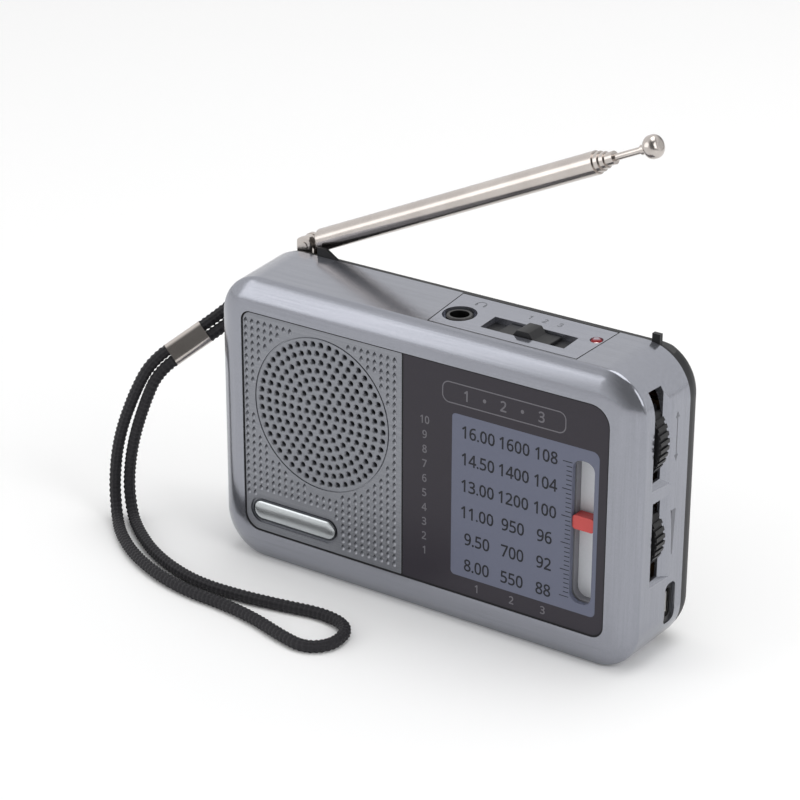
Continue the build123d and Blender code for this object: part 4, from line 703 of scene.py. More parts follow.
def at_depth(loop, depth):
    """Points of a flat loop, or a grid of them, put at a depth in 3-D, in metres."""
    return metres(loop[..., 0], FRONT_Y + depth, loop[..., 1])


def wall(*rings, lift=at_depth):
    """Lining that passes through loops, each given with its depth."""
    return lining(*(lift(loop, depth) for loop, depth in rings))


def sheet(loops, keep, depth, lift=at_depth):
    """Triangles between loops: keep(middles) says which of them are sheet."""
    flat = np.concatenate(loops)
    ends = np.cumsum([0] + [len(loop) for loop in loops])
    edges = np.concatenate(
        [
            np.stack((np.arange(a, b), np.roll(np.arange(a, b), -1)), axis=1)
            for a, b in zip(ends[:-1], ends[1:])
        ]
    )
    verts, _, faces, *_ = delaunay_2d_cdt(
        [Vector(p) for p in flat], edges.tolist(), [], 0, 1e-6, False
    )
    verts = np.array([v[:] for v in verts])
    faces = np.array(faces)
    return lift(verts, depth), faces[keep(verts[faces].mean(axis=1))]


def lining(*rows):
    """Quads between rows of points; each row runs anticlockwise.

    Rows that go inwards and back, as in a hole, face the hole's axis.
    """
    rows = np.stack(rows)
    count_rows, count = rows.shape[:2]
    index = np.arange(count_rows * count).reshape(count_rows, count)
    across = np.roll(index, -1, axis=1)
    quads = np.stack((index[:-1], across[:-1], across[1:], index[1:]), axis=-1)
    return rows.reshape(-1, 3), quads.reshape(-1, 4)


def many(patch_points, patch_faces):
    """One patch of faces repeated for each of a stack of point sets."""
    copies, size = patch_points.shape[:2]
    shift = (np.arange(copies) * size)[:, None, None]
    faces = (patch_faces[None] + shift).reshape(-1, patch_faces.shape[1])
    return patch_points.reshape(-1, 3), faces


WELD = 0.001 * MM


def welded(name, pieces, crease_degrees=30.0):
    """One mesh from pieces of (points, faces), with shared seams merged."""
    points = np.concatenate([p for p, _ in pieces])
    starts = np.cumsum([0] + [len(p) for p, _ in pieces])
    faces = [face for (_, f), start in zip(pieces, starts) for face in (f + start).tolist()]
    mesh = bpy.data.meshes.new(name)
    mesh.from_pydata(points.tolist(), [], faces)
    work = bmesh.new()
    work.from_mesh(mesh)
    bmesh.ops.remove_doubles(work, verts=work.verts, dist=WELD)
    bmesh.ops.dissolve_degenerate(work, dist=WELD / 2, edges=work.edges)
    open_edges = sum(1 for edge in work.edges if len(edge.link_faces) != 2)
    bmesh.ops.recalc_face_normals(work, faces=work.faces)
    work.to_mesh(mesh)
    work.free()
    mesh.shade_smooth()
    mesh.set_sharp_from_angle(angle=math.radians(crease_degrees))
    print(name, "faces", len(mesh.polygons), "open edges", open_edges)
    return mesh


def film(loops, keep, front, back, lift=at_depth):
    """Closed thin body that fills the kept part of some loops between two depths."""
    walls = [wall((loop, front), (loop, back), lift=lift) for loop in loops]
    return [sheet(loops, keep, front, lift), sheet(loops, keep, back, lift), *walls]


print("front plane at y, mm:", round(FRONT_Y, 2))

# %% [markdown]
# ## The grille
#
# One moulded plate: eight rings of drilled holes in a shallow circle, a
# field of small pressed pits, and a pocket for the badge. Seen close, each
# hole is a countersink above a straight bore, and each pit is a dart with
# a steep upper side and a long lower slope, which is what makes it flash
# light below dark. Both are far smaller than what the solids carry, so the
# plate is drawn again with every one of them.

# %% Places on the grille
plate_lo, plate_hi = box_mm("grille_plate")
magnet_lo, magnet_hi = box_mm("speaker_magnet")
badge_lo, badge_hi = box_mm("badge")
speaker = (magnet_lo[[0, 2]] + magnet_hi[[0, 2]]) / 2
badge_mid = (badge_lo[[0, 2]] + badge_hi[[0, 2]]) / 2
badge_size = (badge_hi - badge_lo)[[0, 2]]
PLATE_FRONT = plate_lo[1] - FRONT_Y
PLATE_BACK = plate_hi[1] - FRONT_Y
GROOVE_R = 19.05
GROOVE_W = 0.35
GROOVE_DEEP = 0.3
GROOVE_DRAFT = 0.002  # how much nearer its walls come at the bottom, of the radius
POCKET_DEEP = 0.5
RINGS = 8
RING_PITCH = 2.2
BORE_R = 0.56
SINK_R = 0.86
SINK_DEEP = 0.32
HOLE_SIDES = 16

# Ring r has 6 r holes, an even angle apart, round the one in the middle.
ring = np.repeat(np.arange(RINGS + 1), np.maximum(6 * np.arange(RINGS + 1), 1))
in_ring = np.concatenate([np.arange(max(6 * r, 1)) for r in range(RINGS + 1)])
hole_angle = 2 * math.pi * in_ring / np.maximum(6 * ring, 1)
hole_mid = speaker + RING_PITCH * ring[:, None] * np.stack(
    (np.cos(hole_angle), np.sin(hole_angle)), axis=1
)

PIT_PITCH = 1.857
PIT_COLUMNS, PIT_ROWS = 24, 29
FIRST_PIT = (1.1, 2.45)  # from the plate's left and top edges
KEPT_CLEAR = 1.0  # between a pit's middle and the groove or the plate's edge
POCKET_GAP = 1.2
PLAIN_ROUND_BADGE = (4.0, 3.6)  # how much longer and higher the part without pits is
pit_x = plate_lo[0] + FIRST_PIT[0] + PIT_PITCH * np.arange(PIT_COLUMNS)
pit_z = plate_hi[2] - FIRST_PIT[1] - PIT_PITCH * np.arange(PIT_ROWS)
pit_mid = np.stack(np.meshgrid(pit_x, pit_z), axis=-1).reshape(-1, 2)
pocket = stadium(badge_mid, *(badge_size + POCKET_GAP))
no_pits = stadium(badge_mid, *(badge_size + PLAIN_ROUND_BADGE))
clear_of_ring = np.linalg.norm(pit_mid - speaker, axis=1) > GROOVE_R + GROOVE_W + KEPT_CLEAR
pit_mid = pit_mid[clear_of_ring & ~inside(pit_mid, no_pits)]

# %% Build the grille plate
PLATE_RADII = (4.1, 0.12, 0.12, 2.5)
RIM = 0.15  # chamfer round the plate and the lens
LEAST_R = 0.02


def drawn_in(low, high, radii, inset):
    """Rounded outline of a plate on the front, drawn in by an inset."""
    radii = np.maximum(np.array(radii) - inset, LEAST_R)
    return rounded(low[[0, 2]] + inset, high[[0, 2]] - inset, radii)


plate_edge = drawn_in(plate_lo, plate_hi, PLATE_RADII, 0.0)
plate_rim = drawn_in(plate_lo, plate_hi, PLATE_RADII, RIM)
pit_mid = pit_mid[inside(pit_mid, drawn_in(plate_lo, plate_hi, PLATE_RADII, KEPT_CLEAR))]
print("holes", len(hole_mid), "pits", len(pit_mid))

# A pit is a dart of eight points, drawn to a small floor near its top.
dart = np.array(
    [
        (0.0, 0.80), (-0.38, 0.36), (-0.62, -0.26), (-0.44, -0.64),
        (0.0, -0.80), (0.44, -0.64), (0.62, -0.26), (0.38, 0.36),
    ]
)
PIT_DEEP = 0.75
PIT_FLOOR = 0.22  # size of the floor as a part of the dart's
FLOOR_SHIFT = np.array((-0.05, 0.38))
pit_rim = pit_mid[:, None, :] + dart[None]
pit_floor = pit_mid[:, None, :] + dart[None] * PIT_FLOOR + FLOOR_SHIFT
hole_rim = np.stack([circle(mid, SINK_R, HOLE_SIDES) for mid in hole_mid])
hole_bore = np.stack([circle(mid, BORE_R, HOLE_SIDES) for mid in hole_mid])
groove_out = circle(speaker, GROOVE_R + GROOVE_W, 160)
groove_in = circle(speaker, GROOVE_R, 160)


FLAT_OF_HOLE = 0.98  # the sides of a hole's outline are nearer than its corners


def off_holes(middles, radius):
    """Whether each point is outside every hole of a radius."""
    nearest = np.linalg.norm(middles[:, None] - hole_mid[None], axis=2).min(axis=1)
    return nearest > radius * FLAT_OF_HOLE


def on_plate(middles):
    """Triangles of the front that are neither hole, pit, groove nor pocket."""
    from_speaker = np.linalg.norm(middles - speaker, axis=1)
    near_pit = middles[:, None] - pit_mid[None]
    nearest = np.abs(near_pit).sum(axis=2).argmin(axis=1)
    in_pit = inside(near_pit[np.arange(len(middles)), nearest], dart)
    in_groove = (from_speaker > GROOVE_R) & (from_speaker < GROOVE_R + GROOVE_W)
    on_front = between(plate_rim, pocket)(middles)
    return on_front & off_holes(middles, SINK_R) & ~in_pit & ~in_groove


def many_linings(*rows):
    """The same lining for each of a stack of shapes, whose rows are given."""
    grids = np.stack(rows, axis=1)
    patch = lining(*grids[0])[1]
    return many(grids.reshape(len(grids), -1, 3), patch)


front_sheet = sheet(
    [plate_rim, groove_out, groove_in, pocket, *hole_rim, *pit_rim], on_plate, PLATE_FRONT
)
holes = many_linings(
    at_depth(hole_rim, PLATE_FRONT),
    at_depth(hole_bore + (hole_rim - hole_bore) * 0.25, PLATE_FRONT + 0.6 * SINK_DEEP),
    at_depth(hole_bore, PLATE_FRONT + SINK_DEEP),
    at_depth(hole_bore, PLATE_BACK),
)
pit_low = at_depth(pit_floor, PLATE_FRONT + PIT_DEEP)
pit_walls = many_linings(at_depth(pit_rim, PLATE_FRONT), pit_low)
pit_floors = many(pit_low, np.arange(len(dart))[None])
groove_floor = PLATE_FRONT + GROOVE_DEEP
groove = wall(
    (groove_out, PLATE_FRONT),
    (groove_out - (groove_out - speaker) * GROOVE_DRAFT, groove_floor),
    (groove_in + (groove_in - speaker) * GROOVE_DRAFT, groove_floor),
    (groove_in, PLATE_FRONT),
)
pocket_deep = PLATE_FRONT + POCKET_DEEP
pocket_wall = wall((pocket, PLATE_FRONT), (pocket, pocket_deep))
pocket_floor = sheet([pocket], within(pocket), pocket_deep)


def plate_sides(rim, edge, front, back):
    """A plate's chamfer and side walls, from the front to the back."""
    return wall((rim, front), (edge, front + RIM), (edge, back))


rim_rows = plate_sides(plate_rim, plate_edge, PLATE_FRONT, PLATE_BACK)
back_sheet = sheet(
    [plate_edge, *hole_bore], lambda m: inside(m, plate_edge) & off_holes(m, BORE_R), PLATE_BACK
)
grille_body = [front_sheet, holes, pit_walls, pit_floors, groove]
grille_body += [pocket_wall, pocket_floor, rim_rows, back_sheet]
grille = place(welded("grille_surface", grille_body), "casing", grille_paint)
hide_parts("grille_plate")

# %% [markdown]
# ## The dial lens
#
# A smoked acrylic sheet with a slot for the pointer. Its prints are ink
# films a few hundredths of a millimetre thick: a grey-blue window under the
# figures, the figures and the ruler in dark ink, an outlined box and a
# faint column of figures in grey. Each film is a closed thin slab, so it
# stays a real surface.

# %% Build the lens
lens_lo, lens_hi = box_mm("dial_lens")
strip_lo, strip_hi = box_mm("dial_strip")
LENS_FRONT = lens_lo[1] - FRONT_Y
LENS_BACK = lens_hi[1] - FRONT_Y
SLOT_R = 2.4
slot_mid = (strip_lo[[0, 2]] + strip_hi[[0, 2]]) / 2
slot_half = (strip_hi - strip_lo)[[0, 2]] / 2 + 0.05
LENS_RADII = (0.12, 3.2, 5.0, 0.12)


def slot_loop(inset):
    """Outline of the pointer's slot, drawn in by an inset."""
    half = slot_half - inset
    return rounded(slot_mid - half, slot_mid + half, SLOT_R - inset)


slot = slot_loop(0.0)
lens_edge = drawn_in(lens_lo, lens_hi, LENS_RADII, 0.0)
lens_rim = drawn_in(lens_lo, lens_hi, LENS_RADII, RIM)
lens_mesh = welded(
    "dial_lens_surface",
    [
        sheet([lens_rim, slot], between(lens_rim, slot), LENS_FRONT),
        sheet([lens_edge, slot], between(lens_edge, slot), LENS_BACK),
        wall((slot, LENS_FRONT), (slot, LENS_BACK)),
        plate_sides(lens_rim, lens_edge, LENS_FRONT, LENS_BACK),
    ],
)
lens = place(lens_mesh, "casing", smoked_lens)
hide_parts("dial_lens")

# %% Ink films and painted gap shade: slabs between loops
INK = 0.02
SUNK = 0.002  # how far short of the next surface a film's back stops
film_front, film_back = LENS_FRONT - INK, LENS_FRONT - SUNK


def slab(name, outer, inner, front, back, material, lift=at_depth):
    """Piece of the casing that fills the ring between two loops and two depths."""
    body = film([outer, inner], between(outer, inner), front, back, lift)
    return place(welded(name, body), "casing", material)


# The window film turns in at the slot and lines its wall, so it is built
# as one closed shape: front, wall inwards, and the same wall's back.
WALL_SKIN, HAIR = 0.05, 0.005
WINDOW_LOW, WINDOW_HIGH = (13.6, 4.7), (2.35, 11.3)  # from the lens's corners
WINDOW_RADII = (1.0, 1.3, 1.8, 1.0)
window = rounded(lens_lo[[0, 2]] + WINDOW_LOW, lens_hi[[0, 2]] - WINDOW_HIGH, WINDOW_RADII)
wall_in, wall_out = slot_loop(WALL_SKIN), slot_loop(HAIR)
window_mesh = welded(
    "dial_window",
    [
        sheet([window, wall_in], between(window, wall_in), film_front),
        sheet([window, wall_out], between(window, wall_out), film_back),
        wall((window, film_front), (window, film_back)),
        wall((wall_in, film_front), (wall_in, LENS_BACK)),
        wall((wall_out, film_back), (wall_out, LENS_BACK)),
        sheet([wall_out, wall_in], between(wall_out, wall_in), LENS_BACK),
    ],
)
place(window_mesh, "casing", window_film)

BOX_LINE = 0.28
BOX_R = 1.9
box_low = np.array((lens_lo[0] + 10.8, lens_hi[2] - 9.1))
box_high = np.array((lens_hi[0] - 11.1, lens_hi[2] - 3.8))
box_mid = (box_low + box_high) / 2


def box_loop(inset):
    """Outline of the box at the top of the dial, drawn in by an inset."""
    return rounded(box_low + inset, box_high - inset, BOX_R - inset)


slab("dial_box_line", box_loop(0.0), box_loop(BOX_LINE), film_front, film_back, grey_ink)

# %% [markdown]
# ## Figures on the dial
#
# Six rows of figures for three bands, a ruler beside the slot, a column
# from ten down to one, and a box at the top. They are plain round numbers.
# Type is a font curve with a little thickness, made a mesh, scaled so that
# its figures have the right height, and then put on the front plane. The
# plain sans figures of the mathematical alphabet have a flag on the one,
# as on most dials, so each digit is swapped for its sans twin.

# %% Set the type
FIGURE_TALL = 0.714
TYPE_HALF = 0.01
SANS_FIGURES = str.maketrans("0123456789", "".join(chr(0x1D7E2 + n) for n in range(10)))
TYPE_WIDE = 0.9  # the face is drawn a little narrower
TYPE_BOLD = 0.018  # and its strokes a little wider


def set_type(words, places, tall_mm):
    """Words in flat coordinates: points (X, Z, -1 back to 1 front) and triangles.

    Each word is centred on its place, and its figures stand tall_mm high.
    """
    curve = bpy.data.curves.new("type", "FONT")
    curve.extrude = TYPE_HALF
    curve.offset = TYPE_BOLD
    carrier = in_scene("type", curve)
    scale = tall_mm / FIGURE_TALL * np.array((TYPE_WIDE, 1.0))
    found = []
    for word, spot in zip(words, places):
        curve.body = word.translate(SANS_FIGURES)
        curve.resolution_u = 1 if "1" in word else 2  # a finer widened 1 folds over itself
        drawn = drawn_mesh(carrier)
        drawn.calc_loop_triangles()
        spots = points_of(drawn)
        corners = np.empty(3 * len(drawn.loop_triangles), dtype=np.int32)
        drawn.loop_triangles.foreach_get("vertices", corners)
        middle = (spots[:, :2].min(axis=0) + spots[:, :2].max(axis=0)) / 2
        flat = (spots[:, :2] - middle) * scale + np.asarray(spot)
        found.append((np.column_stack((flat, spots[:, 2] / TYPE_HALF)), corners.reshape(-1, 3)))
        bpy.data.meshes.remove(drawn)
    bpy.data.objects.remove(carrier)
    bpy.data.curves.remove(curve)
    return found


def type_between(flat_words, front_depth, back_depth, lift=at_depth):
    """Puts set type on a surface between two depths, in metres."""
    pieces = []
    for flat, corners in flat_words:
        front, back = lift(flat[:, :2], front_depth), lift(flat[:, :2], back_depth)
        pieces.append((np.where(flat[:, 2:] > 0, front, back), corners))
    return pieces


BOX_FACES = np.array(
    [[0, 1, 2, 3], [7, 6, 5, 4], [0, 4, 5, 1], [1, 5, 6, 2], [2, 6, 7, 3], [3, 7, 4, 0]]
)


def bars(left, right, middle_z, tall, front_depth, back_depth):
    """Closed boxes on the front plane, one for each of the places given."""
    left, right, middle_z = np.broadcast_arrays(*map(np.atleast_1d, (left, right, middle_z)))
    half = tall / 2
    corner_x = np.stack((left, right, right, left), axis=1)
    corner_z = middle_z[:, None] + np.array([-half, -half, half, half])
    flat = np.stack((corner_x, corner_z), axis=-1)
    points = np.concatenate((at_depth(flat, front_depth), at_depth(flat, back_depth)), axis=1)
    return many(points, BOX_FACES)


BANDS = (
    ("16.00", "14.50", "13.00", "11.00", "9.50", "8.00"),
    ("1600", "1400", "1200", "950", "700", "550"),
    ("108", "104", "100", "96", "92", "88"),
)
FIGURE_MM, COUNT_MM, BOX_MM = 2.9, 1.9, 2.5  # heights of the figures
FIGURE_ROWS, ROW_STEP, FIRST_ROW = 6, 6.69, 16.55
TICKS, TICK_STEP, TICK_TALL = 31, 1.115, 0.2
LONG_TICK, SHORT_TICK, TICK_GAP = 2.5, 1.5, 0.06
row_z = slot_mid[1] + FIRST_ROW - ROW_STEP * np.arange(FIGURE_ROWS)
band_x = lens_lo[0] + np.array([20.7, 30.3, 38.7])
figure_words = [word for band in BANDS for word in band]
figure_places = [(x, z) for x in band_x for z in row_z]
ink_front, ink_back = film_front - INK, film_front - SUNK
slot_left = slot_mid[0] - slot_half[0]
tick_z = row_z[0] - TICK_STEP * np.arange(TICKS)
at_row = np.abs(tick_z[:, None] - row_z[None]).min(axis=1) < TICK_STEP / 2
tick_left = slot_left - np.where(at_row, LONG_TICK, SHORT_TICK)
figures = type_between(set_type(figure_words, figure_places, FIGURE_MM), ink_front, ink_back)
ruler = bars(tick_left, slot_left - TICK_GAP, tick_z, TICK_TALL, ink_front, ink_back)
place(welded("dial_figures", [*figures, ruler]), "casing", dark_ink)

COUNT_STEP, COUNT_X, FIRST_COUNT, BAND_Z = 3.69, 6.1, 15.0, 2.6
count_words = [str(n) for n in range(10, 0, -1)] + ["1", "2", "3"]
count_x, first_z = lens_lo[0] + COUNT_X, lens_hi[2] - FIRST_COUNT
count_places = [(count_x, first_z - COUNT_STEP * n) for n in range(10)]
count_places += [(x, lens_lo[2] + BAND_Z) for x in band_x]
in_box = [(box_mid[0] + x, box_mid[1]) for x in (-10, -5, 0, 5, 10)]
words = set_type(count_words, count_places, COUNT_MM) + set_type("1•2•3", in_box, BOX_MM)
place(
    welded("lens_figures", type_between(words, film_front, film_back)), "casing", grey_ink
)

# %% [markdown]
# ## Painted gap shade and the badge
#
# The shade in the gaps round the two front plates, between them, and
# round the plate on top is painted: thin near-black slabs lie in the gaps.
# The badge is a chromed pill: a low dome on a darker rim. Its height above
# its edge follows a superellipse, nearly flat in the middle and quick to
# fall at the rim.

# %% Painted gap shade and the badge's dome
# Widths of the painted gap shade, inside and outside the panels' outline.
GAP_SHADE_IN = 0.28
GAP_SHADE_OUT = 0.09
OUTER_RADII = (4.2, 3.3, 5.1, 2.6)
INNER_RADII = (3.9, 3.0, 4.8, 2.3)


def panel_loop(inset, radii):
    """Outline round the grille and the lens together, drawn in by an inset."""
    high = np.array((lens_hi[0], plate_hi[2]))
    return rounded(plate_lo[[0, 2]] + inset, high - inset, radii)


# Painted shade of the gap round the two front plates: a near-black slab.
slab(
    "panel_gap_shade",
    panel_loop(-GAP_SHADE_OUT, OUTER_RADII),
    panel_loop(GAP_SHADE_IN, INNER_RADII),
    PLATE_FRONT - 0.02,
    PLATE_FRONT + 0.5,
    gap_shade_black,
)
# Painted shade of the gap between the grille and the lens: a near-black bar.
SEAM_HALF = 0.2
seam_x = (plate_hi[0] + lens_lo[0]) / 2
seam = bars(
    seam_x - SEAM_HALF,
    seam_x + SEAM_HALF,
    (plate_lo[2] + plate_hi[2]) / 2,
    (plate_hi - plate_lo)[2] - 0.6,
    PLATE_FRONT + 0.1,
    PLATE_BACK,
)
place(welded("seam_gap_shade", [seam]), "casing", gap_shade_black)


PILL_ROWS = 14
PILL_END = 40
PILL_BASE = 0.3


def pill(name, mid, length, height, depth_edge, rise, power):
    """Domed pill: height(t) = rise (1 - t^power)^(1 / power), t from 0 to 1.

    t = 1 is the outline, a stadium, and t = 0 is the line along its middle.
    """
    outline = stadium(mid, length, height, PILL_END)
    reach = (length - height) / 2
    spine = np.clip(outline[:, 0] - mid[0], -reach, reach)
    core = np.stack((mid[0] + spine, np.full(len(outline), mid[1])), axis=1)
    t = np.sin(np.linspace(0.5 * math.pi, 0.0, PILL_ROWS))[:, None, None]
    flat = core[None] + (outline - core)[None] * t
    raised = rise * (1 - t[..., 0] ** power) ** (1 / power)
    dome = at_depth(flat, depth_edge - raised)
    base = at_depth(outline, depth_edge + PILL_BASE)
    floor = sheet([outline], within(outline), depth_edge + PILL_BASE)
    return welded(name, [lining(base, *dome), floor], crease_degrees=50.0)


BADGE_LIP = 0.42
dome_size = badge_size - 2 * BADGE_LIP
badge_dome = place(
    pill("badge_dome", badge_mid, *dome_size, PLATE_FRONT + 0.25, 0.55, power=2.4),
    "casing",
    badge_metal,
)
badge_lip = place(
    pill("badge_lip", badge_mid, *badge_size, PLATE_FRONT + 0.3, 0.2, power=6.0),
    "casing",
    dark_chrome,
)
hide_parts("badge")
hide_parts("badge")

# %% [markdown]
# ## Top plate and switch
#
# The band switch is a black slide: two thin wings lie down in the slot and
# a ridge stands up between them for the fingertip. Its side view is one
# closed outline, carried straight through the slot's width. The socket for
# headphones is marked with the usual sign, and the switch's three places
# with figures.

# %% Loops on the top and on the right side


def upright(mid, wide, tall, radius):
    """Rounded loop round a middle."""
    half = np.array((wide, tall)) / 2
    return rounded(mid - half, mid + half, radius)


shell_mesh = frame["nodes"]["front_shell"].data
shell_faces = [polygon.vertices[:] for polygon in shell_mesh.polygons]
shell_tree = BVHTree.FromPolygons(points_of(shell_mesh).tolist(), shell_faces)


def skin_at(start, towards):
    """Where a ray from outside meets the casing, in mm."""
    hit = shell_tree.ray_cast(Vector(start) * MM, Vector(towards))
    return np.array(hit[0]) / MM


# Both the right side and the top lean in towards the front, so a mark's
# place on them is a height over a slope: two rays give each slope.
NEAR_D, FAR_D = 14.0, 18.0
BRIDGE_Z = 42.5  # between the two wheels' openings
PLAIN_X = -20.0  # on the plain part of the top
from_right = [skin_at((100, FRONT_Y + d, BRIDGE_Z), (-1, 0, 0))[0] for d in (NEAR_D, FAR_D)]
from_above = [skin_at((PLAIN_X, FRONT_Y + d, 100), (0, 0, -1))[2] for d in (NEAR_D, FAR_D)]
side_slope = (from_right[1] - from_right[0]) / (FAR_D - NEAR_D)
top_slope = (from_above[1] - from_above[0]) / (FAR_D - NEAR_D)


def at_top(loop, proud):
    """Loop of (X, depth) points on the leaning top, proud of it, in metres."""
    x, depth = loop[..., 0], loop[..., 1]
    return metres(x, FRONT_Y + depth, from_above[0] + top_slope * (depth - NEAR_D) + proud)


def at_side(loop, proud):
    """Loop of (depth, Z) points on the leaning right side, proud of it."""
    depth, z = loop[..., 0], loop[..., 1]
    return metres(from_right[0] + side_slope * (depth - NEAR_D) + proud, FRONT_Y + depth, z)


print("slopes of side and top:", round(side_slope, 3), round(top_slope, 3))

# %% The slide and its stem
slider_lo, slider_hi = box_mm("band_slider")
slider_x = (slider_lo[0] + slider_hi[0]) / 2
slider_d = (slider_lo[1] + slider_hi[1]) / 2 - FRONT_Y
slide_low = box_mm("switch_plate")[1][2] + 0.1
WING, WING_T = 6.8, 0.75
RIDGE_FOOT, RIDGE_TOP = 2.7, 1.5
SLIDE_HALF = 2.8
STEM_W, STEM_D = 1.5, 1.0
wing_z = slide_low + WING_T
right_side = np.array(
    [
        (WING, slide_low),
        (WING, wing_z - 0.15),
        (WING - 0.15, wing_z),
        (RIDGE_FOOT + 0.2, wing_z),
        (RIDGE_FOOT, wing_z + 0.1),
        (RIDGE_TOP + 0.2, slider_hi[2] - 0.15),
        (RIDGE_TOP - 0.1, slider_hi[2]),
    ]
)
left_side = right_side[::-1] * np.array((-1.0, 1.0))
profile = np.concatenate((left_side[-1:], right_side, left_side[:-1])) + np.array((slider_x, 0.0))
near_face, far_face = slider_d - SLIDE_HALF, slider_d + SLIDE_HALF
slide_body = [
    wall((profile, near_face), (profile, far_face)),
    sheet([profile], within(profile), near_face),
    sheet([profile], within(profile), far_face),
]
stem = bars(
    slider_x - STEM_W,
    slider_x + STEM_W,
    (slider_lo[2] + slide_low) / 2,
    slide_low - slider_lo[2] - 0.01,
    slider_d - STEM_D,
    slider_d + STEM_D,
)
slide = place(welded("band_slide_knob", [*slide_body, stem]), "band", black_abs)
soften = slide.modifiers.new("moulded edges", "BEVEL")
soften.width = 0.12 * MM
soften.segments = 2
soften.limit_method = "ANGLE"
soften.angle_limit = math.radians(35.0)
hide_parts("band_slider")

# %% Painted seam shade, sign and figures on the top plate
top_lo, top_hi = box_mm("top_plate")
top_mid = (top_lo[0] + top_hi[0]) / 2
FRONT_HALF, REAR_HALF = 19.6, 20.75
d_near, d_far = top_lo[1] - FRONT_Y, top_hi[1] - FRONT_Y
MARK_FRONT, MARK_BACK = 0.02, -0.05


def plate_ring(grow):
    """Outline of the top plate, a trapezium, grown by an amount."""
    front, rear = FRONT_HALF + grow, REAR_HALF + grow
    near, far = d_near - grow, d_far + grow
    corners = [(-front, near), (front, near), (rear, far), (-rear, far)]
    return np.array(corners) + np.array((top_mid, 0.0))


# Painted shade of the gap round the top plate: a near-black slab.
seam_out, seam_in = plate_ring(0.12), plate_ring(-0.13)
slab("top_seam_shade", seam_out, seam_in, 0.01, -0.3, gap_shade_black, at_top)

jack_lo, jack_hi = box_mm("jack_ring")
sign = np.array(((jack_lo[0] + jack_hi[0]) / 2 + 1.6, d_far - 3.1))
half_turn = np.linspace(0.0, math.pi, 24)
bow = np.stack((np.cos(half_turn), np.sin(half_turn)), axis=1)
headband = np.concatenate((sign + 1.35 * bow, (sign + 1.10 * bow)[::-1]))
ears = [upright(sign + np.array((x, -0.35)), 0.55, 1.15, 0.2) for x in (-1.1, 1.1)]
marks = []
for loop in (headband, *ears):
    marks += film([loop], within(loop), MARK_FRONT, MARK_BACK, at_top)
stops = [(slider_x + x, d_far - 3.2) for x in (-4.0, 0.0, 4.0)]
marks += type_between(set_type("123", stops, 1.7), MARK_FRONT, MARK_BACK, at_top)
place(welded("top_marks", marks), "casing", mark_ink)

# %% [markdown]
# ## Marks and sockets on the right side
#
# Beside the tuning wheel are two arrowheads, up and down, and beside the
# volume wheel a long wedge that grows with the sound. Round the charging
# socket, the shade in its recess is painted: a black sheet on the floor.

# %% Marks on the side
tuning_mid, volume_mid = (
    np.mean([corner[2] for corner in box_mm(wheel)]) for wheel in ("tuning_wheel", "volume_wheel")
)
MARK_D = 15.4
SHAFT_HALF = 4.5
tuning_mark, volume_mark = np.array((MARK_D, tuning_mid)), np.array((MARK_D, volume_mid))
arrow = np.array([(-0.75, SHAFT_HALF), (0.75, SHAFT_HALF), (0.0, SHAFT_HALF + 1.5)])
wedge = np.array([(-0.12, -5.6), (0.12, -5.6), (0.85, 5.6), (-0.85, 5.6)])
side_marks = []
for loop in (
    tuning_mark + arrow,
    tuning_mark + arrow * np.array((1.0, -1.0)),
    upright(tuning_mark, 0.26, 2 * SHAFT_HALF, 0.1),
    volume_mark + wedge,
):
    side_marks += film([loop], within(loop), 0.03, -0.12, at_side)
place(welded("side_marks", side_marks), "casing", mark_ink)

# %% Painted shade round the charging socket
usb_lo, usb_hi = box_mm("usb_socket")
usb_mid = np.array(((usb_lo[1] + usb_hi[1]) / 2 - FRONT_Y, (usb_lo[2] + usb_hi[2]) / 2))
RECESS_W, RECESS_H, RECESS_R = 4.1, 10.4, 1.5


def at_socket(loop, beyond):
    """Loop of (depth, Z) points on the floor of the recess."""
    return metres(usb_hi[0] + beyond, FRONT_Y + loop[..., 0], loop[..., 1])


mouth_out = upright(usb_mid, RECESS_W - 0.04, RECESS_H - 0.04, RECESS_R - 0.02)
mouth_in = upright(usb_mid, usb_hi[1] - usb_lo[1] - 0.3, usb_hi[2] - usb_lo[2] - 0.3, 1.05)
# Painted shade of the recess: a black sheet on its floor, round the socket.
slab("charging_recess_shade", mouth_out, mouth_in, 0.35, 0.02, black_abs, at_socket)

# %% [markdown]
# ## Table, backdrop and light
#
# The receiver stands on a white table in a white room. Soft lamps from the
# right and above light the top and the right side a little more than the
# front, which is how its shape reads. The white that the camera and the
# plated metal see comes from the backdrop, not from more light.

# %% Table and backdrop
TABLE_HALF = 3.0
table_mesh = bpy.data.meshes.new("table")
signs = ((-1, -1), (1, -1), (1, 1), (-1, 1))
table_mesh.from_pydata([(TABLE_HALF * x, TABLE_HALF * y, 0) for x, y in signs], [], [(0, 1, 2, 3)])
table = in_scene("table", table_mesh)
table_white, _, table_shader = new_material("matt white card", Roughness=0.9)
table_shader.inputs["Base Color"].default_value = linear("#FFFFFF")
table_mesh.materials.append(table_white)

world = bpy.data.worlds.new("studio")
scene.world = world
world.use_nodes = True
sky = world.node_tree
rays = add(sky, "LightPath").outputs
sky_place = add(sky, "TexCoord").outputs["Generated"]
WHITE = (1.0, 1.0, 1.0, 1.0)
sky_light = sky.nodes["Background"]
sky_light.inputs["Color"].default_value = WHITE
sky_light.inputs["Strength"].default_value = 0.6


def sky_of(strength):
    """White background of some strength."""
    return add(sky, "Background", {"Color": WHITE, "Strength": strength}).outputs[0]


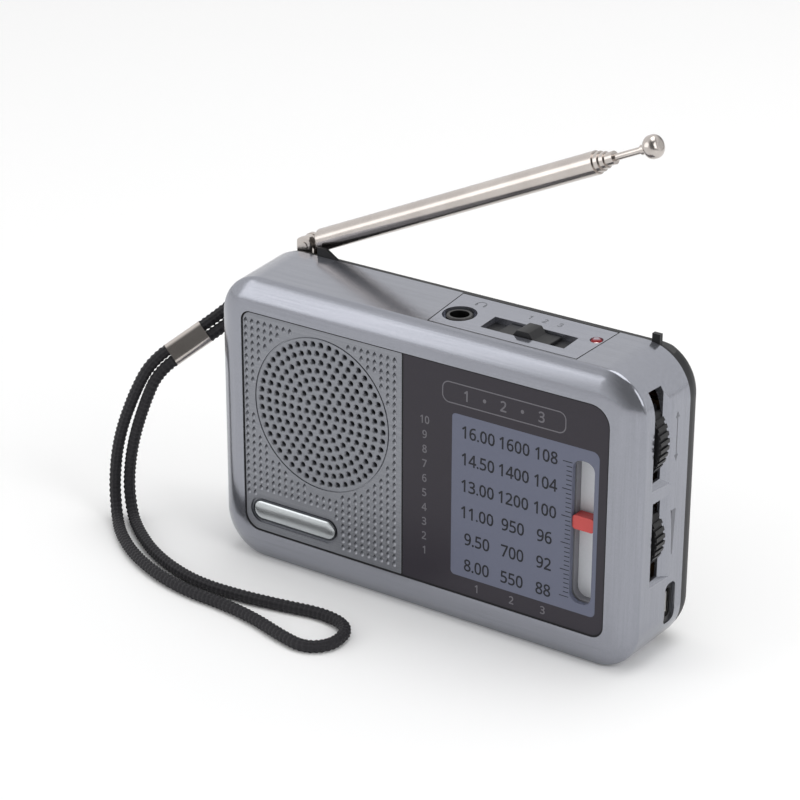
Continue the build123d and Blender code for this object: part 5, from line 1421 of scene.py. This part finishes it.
def either(factor, off, on):
    """One background where the factor is 0 and another where it is 1."""
    return add(sky, "MixShader", {0: factor, 1: off, 2: on}).outputs[0]


def sky_math(operation, one, other):
    """An operation on two values of the sky's tree."""
    return add(sky, "Math", {0: one, 1: other}, operation=operation).outputs[0]


def dimmed_towards(direction, start, end, least):
    """Factor falling from 1 to least as a ray turns towards a direction."""
    nearness = add(sky, "VectorMath", {0: sky_place, 1: direction}, operation="DOT_PRODUCT")
    fall = {"From Min": start, "From Max": end, "To Min": 1.0, "To Max": least}
    fall["Value"] = nearness.outputs["Value"]
    return add(sky, "MapRange", fall, interpolation_type="SMOOTHSTEP").outputs[0]


# What plated and painted metal sees: the white sweep all round, but a dim
# room on the side away from it and a dim wall behind, which give round
# edges and tubes a dark streak.
room_side = dimmed_towards((0.62, -0.52, 0.58), 0.2, 0.9, 0.15)
wall_side = dimmed_towards((0.10, 0.99, -0.05), 0.8, 0.98, 0.25)
room_seen = sky_of(sky_math("MULTIPLY", room_side, wall_side))
in_gloss = sky_math("MAXIMUM", rays["Is Glossy Ray"], rays["Is Transmission Ray"])
lit_or_gloss = either(in_gloss, sky_light.outputs[0], room_seen)
studio = either(rays["Is Camera Ray"], lit_or_gloss, sky_of(1.0))
sky.links.new(studio, sky.nodes["World Output"].inputs["Surface"])

# %% Lamps


def soft_lamp(name, place_m, aim_m, size_m, watts):
    """Square area lamp at a place, turned to face its aim."""
    data = bpy.data.lights.new(name, "AREA")
    data.shape = "SQUARE"
    data.size = size_m
    data.energy = watts
    lamp = in_scene(name, data)
    lamp.location = place_m
    lamp.rotation_euler = (Vector(aim_m) - Vector(place_m)).to_track_quat("-Z", "Y").to_euler()


soft_lamp("right window", (1.1, -0.1, 0.7), (0, 0, 0.04), 0.8, 4.5)
soft_lamp("overhead", (0.1, 0.2, 1.3), (0, 0, 0.04), 0.9, 6.0)
soft_lamp("left fill", (-0.9, -0.9, 0.5), (0, 0, 0.04), 0.8, 2.5)

scene.view_settings.view_transform = "Standard"
